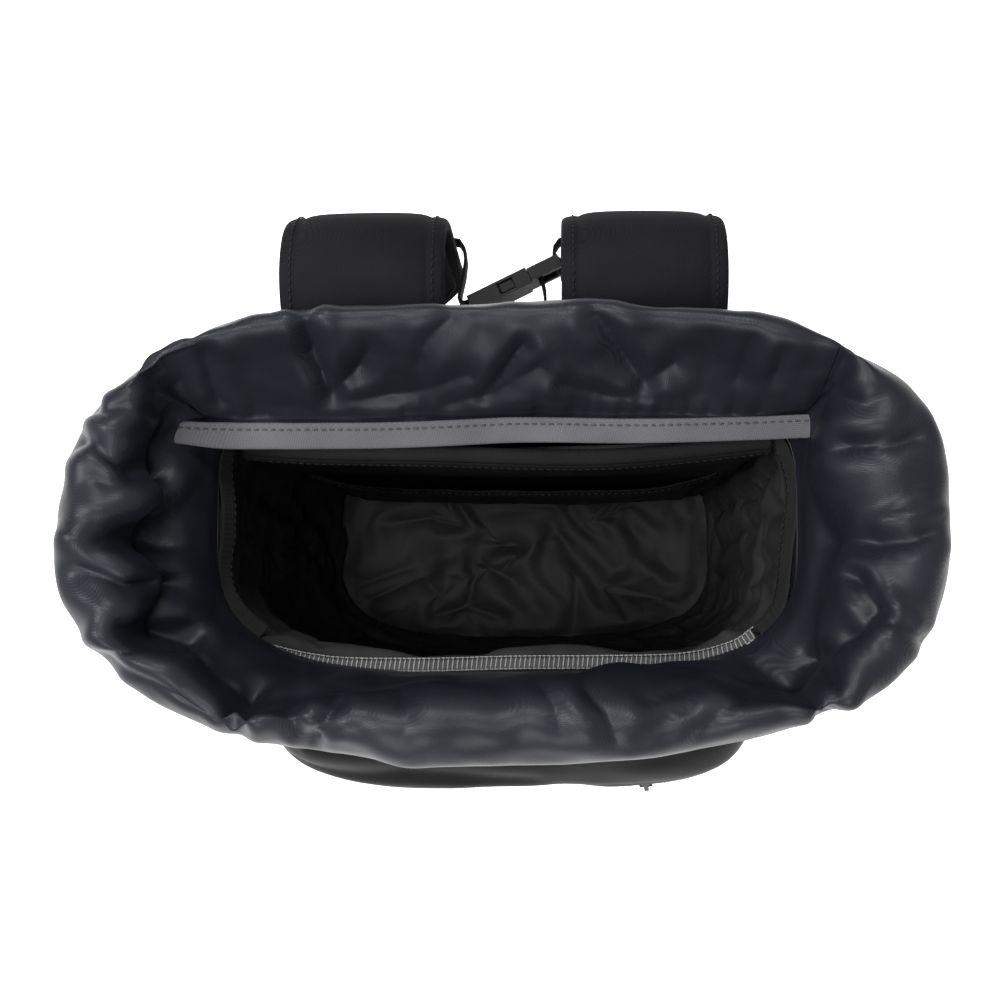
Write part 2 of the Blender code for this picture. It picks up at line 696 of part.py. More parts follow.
def build_collar():
    """Four panels that rise from the seam, fold over the crest and come down outside."""
    for name, angles in collar_panels():
        rows = [[collar_point(ring, angle) for angle in angles] for ring in COLLAR_RINGS]
        solidify(loft(name, rows, NYLON, smooth_angle=80.0), COLLAR_WALL, 1.0)


def build_hem():
    """The bound edge of the collar, one closed ring under its four panels."""
    upper, lower = [], []
    for angle in [angle for _, angles in collar_panels() for angle in angles]:
        s = math.sin(math.radians(angle))
        end = HEM_DROP[2] if s > 0 else HEM_DROP[1]
        drop = HEM_DROP[0] + (end - HEM_DROP[0]) * blend(0.0, 1.0, abs(s) / 0.95)
        point = collar_point(COLLAR_RINGS[-1], angle)
        upper.append(point - Vector((0, 0, 2 * GAP)))
        lower.append(point - Vector((0, 0, drop)))
    hem = loft("collar_hem", [upper, lower], BINDING_DARK, closed=True)
    solidify(hem, COLLAR_WALL + 0.0006, 0.0)


def collar_inner_y(x, z):
    """y of the collar's inner face behind, at a distance from the middle and a height."""
    for low, high in zip(COLLAR_RINGS, COLLAR_RINGS[1:]):
        if low[5] <= z <= high[5]:
            share = (z - low[5]) / (high[5] - low[5])
            half, front, back, _, _, _, _, power = [a + (b - a) * share for a, b in zip(low, high)]
            middle, depth = (front + back) / 2, (back - front) / 2
            return middle + depth * (1 - abs(x / half) ** power) ** (1 / power)
    return BODY_BACK_Y


# ---------------------------------------------------------------- inside


def build_sleeve():
    """The padded divider that stands in front of the laptop compartment, and its slip pocket."""
    low = LINING_FLOOR_Z + LINING + GAP
    height = SLEEVE_TOP_Z - low
    sleeve = box(
        "laptop_sleeve",
        (2 * SLEEVE_HALF_WIDTH, SLEEVE_THICK, height),
        (0, SLEEVE_Y, low + height / 2),
        PADDED,
    )
    shade(bevel(sleeve, 0.0018, 2))
    face = SLEEVE_Y - SLEEVE_THICK / 2 - GAP
    rows = []
    for z, reach in ((SLIP_LOW_Z, 0.0), (0.060, 0.45), (0.130, 0.8), (0.210, 0.95), (SLIP_TOP_Z, 1.0)):
        row = []
        for i in range(13):
            u = -1 + 2 * i / 12
            y = face - SLIP_BULGE * reach * (1 - abs(u) ** 6)
            row.append((u * SLIP_HALF_WIDTH, y, z))
        rows.append(row)
    solidify(loft("slip_pocket", rows, LINED), LINING, 1.0)


def build_flap():
    """The back facing that hangs over the laptop compartment, its free edge bound in grey tape."""
    edge_y, edge_z = FLAP_EDGE
    rows = []
    for share in (0.0, 0.25, 0.5, 0.75, 1.0):
        half = FLAP_HINGE_HALF + (FLAP_EDGE_HALF - FLAP_HINGE_HALF) * share
        row = []
        for i in range(9):
            x = half * (i / 4 - 1)
            top_y = collar_inner_y(x / half * FLAP_HINGE_HALF, FLAP_HINGE_Z) - FLAP_THICK / 2 - GAP
            z = FLAP_HINGE_Z + (edge_z - FLAP_HINGE_Z) * share + 0.0030 * math.sin(math.pi * share)
            row.append((x, top_y + (edge_y - top_y) * share, z))
        rows.append(row)
    solidify(loft("laptop_flap", rows, NYLON), FLAP_THICK)
    slope = Vector((0, edge_y - collar_inner_y(0, FLAP_HINGE_Z), edge_z - FLAP_HINGE_Z)).normalized()
    size = (2 * FLAP_EDGE_HALF, BINDING_THICK, BINDING_HEIGHT)
    binding = box("flap_binding", size, (0, 0, 0), TAPE)
    bevel(binding, 0.0006, 1)
    binding.location = Vector((0, edge_y, edge_z)) + slope * (BINDING_HEIGHT / 2 + GAP)
    binding.rotation_euler = (math.atan2(slope.y, -slope.z), 0, 0)


# ---------------------------------------------------------------- shoulder straps


def strap_frame(line, sign):
    """Rows of the strap: its middle line spread to its width, which narrows below the taper."""
    rows = []
    for point in line:
        y, z = point.x, point.y
        share = (STRAP_TAPER_Z - z) / (STRAP_TAPER_Z - STRAP_LINE[-1][1])
        width = blend(STRAP_WIDTH, STRAP_END_WIDTH, share)
        middle = blend(RAIL_X, STRAP_END_X, share)
        rows.append([(sign * (middle + u * width / 2), y, z) for u in (-1.0, -0.86, 0.86, 1.0)])
    return rows


def build_straps():
    line = smooth_line([(y, z, 0.0) for y, z in STRAP_LINE], 2)
    for side, sign in (("left", -1), ("right", 1)):
        strap = loft(f"shoulder_strap_{side}", strap_frame(line, sign), MATT, smooth_angle=60.0)
        solidify(strap, STRAP_THICK)
        bevel(strap, 0.0030, 2, 60.0)
        build_strap_anchor(side, sign)
        build_rail(side, sign)
        build_ladder(side, sign)


def build_strap_anchor(side, sign):
    """The folded seam allowance between the strap's root and the back panel."""
    low = PAD_FACE_Y + GAP
    high = STRAP_LINE[0][0] - STRAP_THICK / 2 - GAP
    z = STRAP_LINE[0][1] + 0.006
    size = (STRAP_WIDTH - 0.004, high - low, 0.012)
    anchor = box(f"strap_anchor_{side}", size, (sign * RAIL_X, (low + high) / 2, z), WEB)
    bevel(anchor, 0.0006, 1)


def build_rail(side, sign):
    """A strip of webbing sewn on at both ends; the sternum slider rides on its raised middle."""
    face = STRAP_FACE_Y + STRAP_THICK / 2
    low, high = RAIL_LOW_Z, RAIL_HIGH_Z
    raised = face + RAIL_STANDOFF + RAIL_THICK / 2
    seated = face + GAP + RAIL_THICK / 2
    line = [
        (sign * RAIL_X, seated, low - 0.020),
        (sign * RAIL_X, seated, low - 0.008),
        (sign * RAIL_X, raised, low),
        (sign * RAIL_X, raised, high),
        (sign * RAIL_X, seated, high + 0.006),
        (sign * RAIL_X, seated, high + 0.010),
    ]
    ribbon(f"sternum_rail_{side}", [Vector(p) for p in line], RAIL_WIDTH, RAIL_THICK, (1, 0, 0), WEB)


def build_ladder(side, sign):
    """Ladder lock on a short loop at the strap's end, with the adjusting web through it."""
    end_y, end_z = STRAP_LINE[-1]
    hinge = Vector((sign * STRAP_END_X, end_y - 0.0010, end_z - 0.0075))
    matrix = Matrix.Translation(hinge)
    w, h, bar = LADDER_WIDTH, LADDER_HEIGHT, LADDER_BAR
    slot = (h - 3 * bar) / 2
    lock = box(f"ladder_lock_{side}", (w, LADDER_THICK, h), (0, 0, bar / 2 - h / 2), PLASTIC)
    lock.matrix_world = matrix
    slots = [
        ((w - 2 * LADDER_CHEEK, 0.02, slot), (0, 0, -bar / 2 - slot / 2)),
        ((w - 2 * LADDER_CHEEK, 0.02, slot), (0, 0, -bar * 1.5 - slot * 1.5)),
    ]
    cut(lock, box_cutter(f"ladder_slots_{side}", slots, matrix))
    bevel(lock, 0.0007, 2)
    reach = LADDER_THICK / 2 + RUN + WEB_THICK / 2
    loop = loop_line(Vector((0, 1, 0)), Vector((0, 0, 1)), hinge, reach, bar / 2 + RUN + WEB_THICK / 2)
    top = Vector((hinge.x, end_y, end_z - 0.0014))
    loop = [top - Vector((0, 0.0012, 0)), *loop, top + Vector((0, 0.0012, 0))]
    ribbon(f"strap_loop_{side}", loop, LOWER_WEB, WEB_THICK, (1, 0, 0), WEB)
    build_lower_web(side, sign, hinge)


def loop_line(outwards, up, centre, reach, below):
    """Half a turn of webbing under a bar, from one side up to the other."""
    rise = reach * 1.2
    return [
        centre - outwards * reach + up * rise,
        centre - outwards * reach - up * (below - reach * 0.45),
        centre - outwards * reach * 0.5 - up * below,
        centre + outwards * reach * 0.5 - up * below,
        centre + outwards * reach - up * (below - reach * 0.45),
        centre + outwards * reach + up * rise,
    ]


def build_lower_web(side, sign, hinge):
    """Webbing from the base tab up behind the lock, over its middle bar and down as a short tail."""
    bar, height = LADDER_BAR, LADDER_HEIGHT
    slot = (height - 3 * bar) / 2
    middle = hinge - Vector((0, 0, bar + slot))
    reach = LADDER_THICK / 2 + RUN + WEB_THICK / 2
    over = bar / 2 + RUN + WEB_THICK / 2 + 0.0001
    tab_x = sign * TAB_X
    start = Vector((tab_x, tab_face_y(0.002) + GAP + WEB_THICK / 2, TAB_Z + 0.002))
    rise = Vector((tab_x - sign * 0.002, tab_face_y(0.020) + GAP + WEB_THICK / 2, TAB_Z + 0.020))
    line = [start, rise]
    foot = Vector((hinge.x, middle.y - reach, middle.z - over - 0.014))
    for share in (0.33, 0.66):
        point = rise.lerp(foot, share)
        point.y += 0.003
        line.append(point)
    line += [
        foot,
        middle + Vector((0, -reach, over * 0.45)),
        middle + Vector((0, -reach * 0.55, over)),
        middle + Vector((0, reach * 0.55, over)),
        middle + Vector((0, reach, over * 0.45)),
        middle + Vector((0, reach + 0.0006, -over - 0.004)),
        middle + Vector((0, reach + 0.0030, -over - 0.020)),
        middle + Vector((0, reach + 0.0010, -over - 0.046)),
    ]
    ribbon(f"lower_web_{side}", line, LOWER_WEB, WEB_THICK, (1, 0, 0), WEB)
    build_base_tab(side, sign)


def tab_face_y(above):
    """y of the outer face of the base tab, at a height above the tab's middle."""
    return PAD_FACE_Y + GAP + TAB_THICK * 1.02 + (above + 0.022) * TAB_LEAN


def build_base_tab(side, sign):
    """A cloth triangle sewn into the bottom corner that the web is caught in."""
    bm = bmesh.new()
    x = sign * TAB_X
    outline = ((-0.026, -0.022), (0.026, -0.022), (0.013, 0.016), (-0.013, 0.016))
    face = bm.faces.new([bm.verts.new((x + u, tab_face_y(v), TAB_Z + v)) for u, v in outline])
    face.normal_update()
    if face.normal.y < 0:
        face.normal_flip()
    mesh = bpy.data.meshes.new(f"base_tab_{side}")
    bm.to_mesh(mesh)
    bm.free()
    solidify(add_object(f"base_tab_{side}", mesh, COATED), TAB_THICK, -1.0)


# ---------------------------------------------------------------- sternum strap


def side_release_male(name, web, matrix):
    """Base with two web slots, a guide tongue and two barbed prongs that point along -X."""
    width = web + 2 * BUCKLE_CHEEK
    bm = bmesh.new()
    add_box(bm, (BUCKLE_BASE, width, BUCKLE_BASE_THICK), (BUCKLE_BASE / 2, 0, 0))
    male = from_bmesh(name, bm, PLASTIC)
    male.matrix_world = matrix
    inner = width - 2 * BUCKLE_SHELL - 2 * RUN
    reach = BUCKLE_PRONG
    pieces = [((reach + 0.001, PRONG_WIDTH * 1.2, PRONG_THICK * 0.8), (-reach / 2 + 0.0005, 0, 0))]
    for side in (-1, 1):
        length = reach - 0.002
        y = side * (inner / 2 - PRONG_WIDTH / 2)
        pieces.append(((length + 0.001, PRONG_WIDTH, PRONG_THICK), (-length / 2 + 0.0005, y, 0)))
        pieces.append(((0.0056, BUCKLE_SHELL, PRONG_THICK), (-BUCKLE_WINDOW, side * (inner + 0.001) / 2, 0)))
    for index, piece in enumerate(pieces):
        cut(male, box_cutter(f"{name}_add_{index}", [piece], matrix), "UNION")
    relief = BUCKLE_BASE_THICK - WEB_BAR
    bars = BUCKLE_BASE - SLOT_NEAR + SLOT / 2
    middle = SLOT_NEAR - SLOT / 2 + bars / 2
    slots = [((SLOT, web + 0.0010, 0.02), (x, 0, 0)) for x in (SLOT_NEAR, SLOT_FAR)]
    sunk = (bars + 0.002, web + 0.0010, relief)
    for side in (-1, 1):
        slots.append((sunk, (middle + 0.001, 0, side * BUCKLE_BASE_THICK / 2)))
    for index, piece in enumerate(slots):
        cut(male, box_cutter(f"{name}_slot_{index}", [piece], matrix))
    return male


def side_release_female(name, web, matrix):
    """Hollow housing open at the mouth, with side windows for the barbs and a web bar behind."""
    width = web + 2 * BUCKLE_CHEEK
    bm = bmesh.new()
    add_box(bm, (BUCKLE_LENGTH, width, BUCKLE_THICK), (-BUCKLE_LENGTH / 2 - GAP, 0, 0))
    female = from_bmesh(name, bm, PLASTIC)
    female.matrix_world = matrix
    inner = width - 2 * BUCKLE_SHELL
    cuts = [((2 * BUCKLE_CAVITY, inner, PRONG_THICK + 2 * RUN), (-GAP, 0, 0))]
    for side in (-1, 1):
        cuts.append(((0.0080, 0.0080, PRONG_THICK + 4 * RUN), (-BUCKLE_WINDOW, side * width / 2, 0)))
        relief = (0.0080, web + 0.0010, BUCKLE_THICK - WEB_BAR)
        cuts.append((relief, (-FEMALE_BAR - 0.004 + SLOT, 0, side * BUCKLE_THICK / 2)))
    cuts.append(((SLOT, web + 0.0010, 0.02), (-FEMALE_BAR + SLOT / 2, 0, 0)))
    for index, piece in enumerate(cuts):
        cut(female, box_cutter(f"{name}_cut_{index}", [piece], matrix))
    return bevel(female, 0.0008, 2)


def buckle_matrix():
    """Its width upright, its prongs towards the left strap."""
    turn = Matrix.Rotation(math.radians(BUCKLE_TURN), 4, "Z") @ Matrix.Rotation(math.radians(90), 4, "X")
    return Matrix.Translation(BUCKLE_MOUTH) @ turn


def build_sternum():
    matrix = buckle_matrix()
    side_release_male("sternum_male", STERNUM_WEB, matrix)
    side_release_female("sternum_female", STERNUM_WEB, matrix)
    for side, sign in (("left", -1), ("right", 1)):
        build_sternum_slider(side, sign)
    build_sternum_webs(matrix)


def build_sternum_slider(side, sign):
    """A clip that wraps the rail webbing, with a bar on its inner side for the sternum web."""
    outer = RAIL_WIDTH / 2 + RUN + SLIDER_WALL
    depth = RAIL_THICK + 2 * RUN + 2 * SLIDER_WALL
    bar_end = outer + SLOT + SLIDER_WALL
    width = outer + bar_end
    x = sign * (RAIL_X - (bar_end - outer) / 2)
    slider = box(f"sternum_slider_{side}", (width, depth, 0.0190), (x, RAIL_Y, STERNUM_Z), PLASTIC)
    rail = ((2 * (RAIL_WIDTH / 2 + RUN), RAIL_THICK + 2 * RUN, 0.05), (sign * RAIL_X, RAIL_Y, STERNUM_Z))
    cut(slider, box_cutter(f"slider_rail_{side}", [rail]))
    slot = ((SLOT, 0.02, STERNUM_WEB + 0.0008), (sign * (RAIL_X - outer - SLOT / 2), RAIL_Y, STERNUM_Z))
    cut(slider, box_cutter(f"slider_slot_{side}", [slot]))
    bevel(slider, 0.0005, 1)


def slider_loop(sign):
    """The web's turn round the slider's bar, from behind it to before it."""
    outer = RAIL_WIDTH / 2 + RUN + SLIDER_WALL
    bar = Vector((sign * (RAIL_X - outer - SLOT - SLIDER_WALL / 2), RAIL_Y, STERNUM_Z))
    depth = RAIL_THICK + 2 * RUN + 2 * SLIDER_WALL
    reach = depth / 2 + GAP + WEB_THICK / 2
    side = SLIDER_WALL / 2 + GAP + WEB_THICK / 2
    out = Vector((sign, 0, 0))
    return [
        bar + Vector((0, reach, 0)) - out * 0.0060,
        bar + Vector((0, reach, 0)) + out * side * 0.55,
        bar + Vector((0, reach * 0.75, 0)) + out * side,
        bar - Vector((0, reach * 0.75, 0)) + out * side,
        bar - Vector((0, reach, 0)) + out * side * 0.55,
        bar - Vector((0, reach, 0)) - out * 0.0060,
    ]


def slack_points(sign, slack):
    points = []
    for i, (past, off, above) in enumerate(slack):
        face = STRAP_THICK / 2 if i < SLACK_OUTER_POINTS else -STRAP_THICK / 2
        points.append(Vector((sign * (STRAP_INNER_X - past), STRAP_FACE_Y + face + off, STERNUM_Z + above)))
    return points


def build_sternum_webs(matrix):
    """The slack webs from each slider round the strap's inner edge to the buckle."""
    bar_x = -(FEMALE_BAR + 0.0013)
    reach = WEB_BAR / 2 + GAP + WEB_THICK / 2
    female_turn = [
        matrix @ Vector((x, 0, w))
        for x, w in (
            (bar_x - 0.0075, -0.0016),
            (bar_x - 0.0022, -reach),
            (bar_x + 0.0016, -reach),
            (bar_x + 0.0027, -reach * 0.45),
            (bar_x + 0.0027, reach * 0.45),
            (bar_x + 0.0016, reach),
            (bar_x - 0.0022, reach),
            (bar_x - 0.0075, 0.0016),
        )
    ]
    left = [*slider_loop(-1), *slack_points(-1, SLACK_LEFT), *female_turn[1:]]
    turn = WEB_BAR / 2 + GAP + WEB_THICK / 2
    male_turn = [
        matrix @ Vector((x, 0, w))
        for x, w in (
            (BUCKLE_BASE + 0.0010, turn + 0.0002),
            (SLOT_FAR + 0.0012, turn),
            (SLOT_FAR, 0.0004),
            (SLOT_FAR + 0.0001, -turn * 0.45),
            (SLOT_FAR - 0.0008, -turn),
            (SLOT_NEAR + 0.0008, -turn),
            (SLOT_NEAR - 0.0001, -turn * 0.45),
            (SLOT_NEAR, 0.0004),
            (SLOT_NEAR - 0.0002, turn + 0.0010),
            (SLOT_NEAR - 0.0018, turn + 0.0070),
            (SLOT_NEAR - 0.0040, turn + 0.0120),
        )
    ]
    right = [*slider_loop(1), *slack_points(1, SLACK_RIGHT), *male_turn]
    for name, line in (("sternum_web_left", left), ("sternum_web_right", right)):
        ribbon(name, line, STERNUM_WEB, WEB_THICK, (0, 0, 1), WEB)


# ---------------------------------------------------------------- haul loop and closure


def build_haul_loop():
    """A hanging loop of folded webbing under a strip sewn along the top of the back panel."""
    top, drop, half = HAUL_SEAM_Z, HAUL_DROP, HAUL_HALF_WIDTH
    y = PAD_FACE_Y + 2 * GAP + HAUL_WEB / 2
    profile = [
        (-half * 0.94, top),
        (-half, top - drop * 0.35),
        (-half * 0.86, top - drop * 0.72),
        (-half * 0.45, top - drop * 0.95),
        (0.0, top - drop),
        (half * 0.45, top - drop * 0.95),
        (half * 0.86, top - drop * 0.72),
        (half, top - drop * 0.35),
        (half * 0.94, top),
    ]
    line = smooth_line([(x, y, z) for x, z in profile], 2)
    ribbon("haul_loop", line, HAUL_WEB, HAUL_THICK, (0, 1, 0), WEB)
    # the strip ends short of the line the loop turns on, so that the loop can swing up past it
    size = (2 * half + 0.010, HAUL_WEB / 2 - 0.0005, 0.0026)
    centre = (0, PAD_FACE_Y + GAP + size[1] / 2, top + GAP + size[2] / 2)
    bevel(box("haul_strip", size, centre, WEB), 0.0004, 1)


def build_closure():
    """Buckle halves that hang on webbing tabs from the two ends of the collar's hem."""
    low = CLOSURE_HINGE_Z - CLOSURE_DROP
    for side, sign in (("left", -1), ("right", 1)):
        x = sign * CLOSURE_X
        if side == "left":
            # prongs hang down, the web turns round the middle bar
            bar_x = (SLOT_NEAR + SLOT_FAR) / 2
            matrix = Matrix.Translation((x, 0, low - bar_x)) @ Matrix.Rotation(math.radians(-90), 4, "Y")
            side_release_male("closure_male", CLOSURE_WEB, matrix)
            below = (SLOT_FAR - SLOT_NEAR - SLOT) / 2 + RUN + WEB_THICK / 2
            clear = BUCKLE_BASE - bar_x + 0.0015
        else:
            # the mouth hangs down, the web turns round the rear bar
            bar_x = FEMALE_BAR + (BUCKLE_LENGTH - FEMALE_BAR) / 2
            matrix = Matrix.Translation((x, 0, low - bar_x)) @ Matrix.Rotation(math.radians(90), 4, "Y")
            side_release_female("closure_female", CLOSURE_WEB, matrix)
            below = BUCKLE_LENGTH - bar_x + RUN + WEB_THICK / 2
            clear = BUCKLE_LENGTH - bar_x + 0.0035
        reach = WEB_BAR / 2 + RUN + WEB_THICK / 2
        turn = loop_line(Vector((1, 0, 0)), Vector((0, 0, 1)), Vector((x, 0, low)), reach, below)
        away = Vector((0.0011, 0, 0))
        top = Vector((x, 0, CLOSURE_HINGE_Z))
        side_step = Vector((reach, 0, 0))
        above = Vector((x, 0, low + clear))
        near = above + Vector((0, 0, 0.006))
        down = [top - away, near - away, above - side_step]
        up = [above + side_step, near + away, top + away]
        line = [*down, *turn[1:-1], *up]
        ribbon(f"closure_tab_{side}", line, CLOSURE_WEB, WEB_THICK, (0, 1, 0), WEB)


# ---------------------------------------------------------------- assembly

clear_scene()
PARTS = new_collection("roll_top_backpack")
CUTTERS = new_collection("cutters", hidden=True)
COATED = make_material("coated_cloth", COATED_CLOTH)
NYLON = make_material("collar_nylon", BLACK_NYLON)
LINED = make_material("lining_cloth", LINING_CLOTH)
MATT = make_material("strap_cloth", MATT_CLOTH)
STRETCH = make_material("stretch_cloth", MESH_CLOTH)
MESHED = make_material("spacer_mesh", MESH_CLOTH)
PADDED = make_material("padded_cloth", LINING_CLOTH)
TAPE = make_material("grey_tape", GREY_TAPE)
BINDING_DARK = make_material("dark_tape", LINING_CLOTH)
WEB = make_material("webbing", WEBBING)
ZIP_CLOTH = make_material("zip_tape", WEBBING)
PLASTIC = make_material("acetal", ACETAL)
ZINC = make_material("zip_metal", ZIP_METAL)

build_base()
build_walls()
build_lining()
build_seam_bindings()
PAD_FACE_Y = build_back_panel()
build_back_pads(PAD_FACE_Y)
build_front_pocket()
build_zip(zip_matrix())
build_side_pockets()
build_collar()
build_hem()
build_sleeve()
build_flap()
build_straps()
build_sternum()
build_haul_loop()
build_closure()
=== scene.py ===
"""Looks of the roll-top backpack: cloth, straps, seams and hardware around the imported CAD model."""

import json
import math

import bpy
import numpy as np
from mathutils import Matrix, Vector, noise


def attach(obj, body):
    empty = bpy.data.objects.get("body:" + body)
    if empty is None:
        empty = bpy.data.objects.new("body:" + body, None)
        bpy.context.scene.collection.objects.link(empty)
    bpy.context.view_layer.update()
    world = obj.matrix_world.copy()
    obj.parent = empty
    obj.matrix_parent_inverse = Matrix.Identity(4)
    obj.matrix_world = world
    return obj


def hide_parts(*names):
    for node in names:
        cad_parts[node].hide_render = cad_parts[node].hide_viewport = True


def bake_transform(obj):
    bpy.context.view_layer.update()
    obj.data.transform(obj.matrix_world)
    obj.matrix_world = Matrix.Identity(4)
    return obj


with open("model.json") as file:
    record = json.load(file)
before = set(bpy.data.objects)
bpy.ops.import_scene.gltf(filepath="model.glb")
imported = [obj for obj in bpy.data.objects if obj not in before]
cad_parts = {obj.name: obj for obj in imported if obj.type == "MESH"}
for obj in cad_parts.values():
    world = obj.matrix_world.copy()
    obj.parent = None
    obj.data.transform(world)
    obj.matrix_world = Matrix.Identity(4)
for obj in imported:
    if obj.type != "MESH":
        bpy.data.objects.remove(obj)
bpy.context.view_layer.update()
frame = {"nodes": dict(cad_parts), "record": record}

# ---------------------------------------------------------------- camera, light and floor

CAMERA_AT = (0.022, -0.0255, 1.125)
PICTURE_PX = 1000.0
FOCAL_PX = 1645.0
NADIR_PX = (56.0, 100.0)  # the point straight below the camera, right of and below the picture's centre
SENSOR_MM = 36.0
WORLD_STRENGTH = 0.16
FLOOR_GLOW = 0.72
FLOOR_HALF = 6.0
FLOOR_DROP = 0.0004  # keeps the floor off the base's underside


def add_camera():
    length = math.sqrt(NADIR_PX[0] ** 2 + NADIR_PX[1] ** 2 + FOCAL_PX**2)
    side, down, ahead = NADIR_PX[0] / length, NADIR_PX[1] / length, FOCAL_PX / length
    right = Vector((math.sqrt(1 - side**2), 0, -side))
    forward_x = -ahead * side / right.x
    forward = Vector((forward_x, math.sqrt(1 - ahead**2 - forward_x**2), -ahead))
    up = right.cross(forward)
    data = bpy.data.cameras.new("camera")
    data.sensor_fit = "HORIZONTAL"
    data.sensor_width = SENSOR_MM
    data.lens = SENSOR_MM * FOCAL_PX / PICTURE_PX
    data.clip_start = 0.01
    data.clip_end = 20.0
    camera = bpy.data.objects.new("camera", data)
    bpy.context.scene.collection.objects.link(camera)
    basis = Matrix((right, up, -forward)).transposed().to_4x4()
    camera.matrix_world = Matrix.Translation(CAMERA_AT) @ basis
    bpy.context.scene.camera = camera


def add_area(name, at, aim, size, power):
    data = bpy.data.lights.new(name, "AREA")
    data.energy = power
    data.size = size
    lamp = bpy.data.objects.new(name, data)
    lamp.location = at
    lamp.rotation_euler = (Vector(aim) - Vector(at)).to_track_quat("-Z", "Y").to_euler()
    bpy.context.scene.collection.objects.link(lamp)


def feed(tree, socket, value):
    """Links an output to the input, or sets the input's value."""
    if isinstance(value, bpy.types.NodeSocket):
        tree.links.new(value, socket)
    else:
        socket.default_value = value


def set_inputs(tree, node, *first, **named):
    """Feeds the node's first inputs in order and others by name, with an underscore for each space."""
    for socket, value in zip(node.inputs, first):
        feed(tree, socket, value)
    for name, value in named.items():
        feed(tree, node.inputs[name.replace("_", " ")], value)
    return node


def node_of(tree, kind, *first, **named):
    return set_inputs(tree, tree.nodes.new(kind), *first, **named)


def math_of(tree, operation, *operands):
    node = node_of(tree, "ShaderNodeMath", *operands)
    node.operation = operation
    return node.outputs[0]


def new_material(name):
    material = bpy.data.materials.new(name)
    material.use_nodes = True
    tree = material.node_tree
    return material, tree, tree.nodes["Principled BSDF"]


def background_rays(tree):
    """1 for the rays that show the background: from the camera, off a gloss and through a clear material."""
    paths = tree.nodes.new("ShaderNodeLightPath").outputs
    shown = math_of(tree, "MAXIMUM", paths["Is Camera Ray"], paths["Is Glossy Ray"])
    return math_of(tree, "MAXIMUM", shown, paths["Is Transmission Ray"])


def add_world():
    """Soft light from all around; the background itself is white."""
    world = bpy.data.worlds.new("world")
    bpy.context.scene.world = world
    world.use_nodes = True
    tree = world.node_tree
    strength = math_of(tree, "MULTIPLY_ADD", background_rays(tree), 1.0 - WORLD_STRENGTH, WORLD_STRENGTH)
    set_inputs(tree, tree.nodes["Background"], Color=(1.0, 1.0, 1.0, 1.0), Strength=strength)


def add_floor():
    """A pale floor that shows white to the camera and keeps the object's shadow."""
    mesh = bpy.data.meshes.new("floor")
    corners = [(x * FLOOR_HALF, y * FLOOR_HALF, 0) for x, y in ((-1, -1), (1, -1), (1, 1), (-1, 1))]
    mesh.from_pydata(corners, [], [(0, 1, 2, 3)])
    floor = bpy.data.objects.new("floor", mesh)
    bpy.context.scene.collection.objects.link(floor)
    floor.location.z = -FLOOR_DROP
    material, tree, shader = new_material("floor_paper")
    set_inputs(tree, shader, Base_Color=(0.92, 0.92, 0.92, 1), Roughness=0.9, Specular_IOR_Level=0.1)
    glow = node_of(tree, "ShaderNodeEmission", Color=(1, 1, 1, 1), Strength=FLOOR_GLOW)
    lit = node_of(tree, "ShaderNodeAddShader", shader.outputs[0], glow.outputs[0])
    mix = node_of(tree, "ShaderNodeMixShader", background_rays(tree), shader.outputs[0], lit.outputs[0])
    tree.links.new(mix.outputs[0], tree.nodes["Material Output"].inputs[0])
    mesh.materials.append(material)


bpy.context.scene.view_settings.view_transform = "Standard"
add_camera()
add_world()
add_floor()
add_area("key", (-0.75, -0.10, 1.35), (0, 0, 0.45), 0.35, 14.0)
add_area("back", (-0.05, 0.75, 1.6), (0, 0, 0.3), 0.40, 13.0)
add_area("front", (-0.2, -1.3, 1.30), (0, 0, 0.42), 0.5, 14.0)
add_area("top", (-0.12, -0.05, 1.75), (0, 0, 0.2), 0.25, 8.0)

# ---------------------------------------------------------------- materials

WEAVE_TURN = (0.62, 0.35, 0.785)  # no thread direction follows an axis of the object
WAVE_FACTOR = 0.314  # the wave texture's scale for threads one metre apart


def object_place(tree):
    return tree.nodes.new("ShaderNodeTexCoord").outputs["Object"]


def noise_of(tree, **inputs):
    return node_of(tree, "ShaderNodeTexNoise", object_place(tree), **inputs)


def tones(tree, factor, *stops):
    """A colour ramp of two stops, each a position and a colour."""
    ramp = node_of(tree, "ShaderNodeValToRGB", factor)
    for element, (position, colour) in zip(ramp.color_ramp.elements, stops):
        element.position = position
        element.color = (*colour, 1)
    return ramp.outputs[0]


def bump_of(tree, height, strength, distance):
    return node_of(tree, "ShaderNodeBump", Strength=strength, Distance=distance, Height=height)


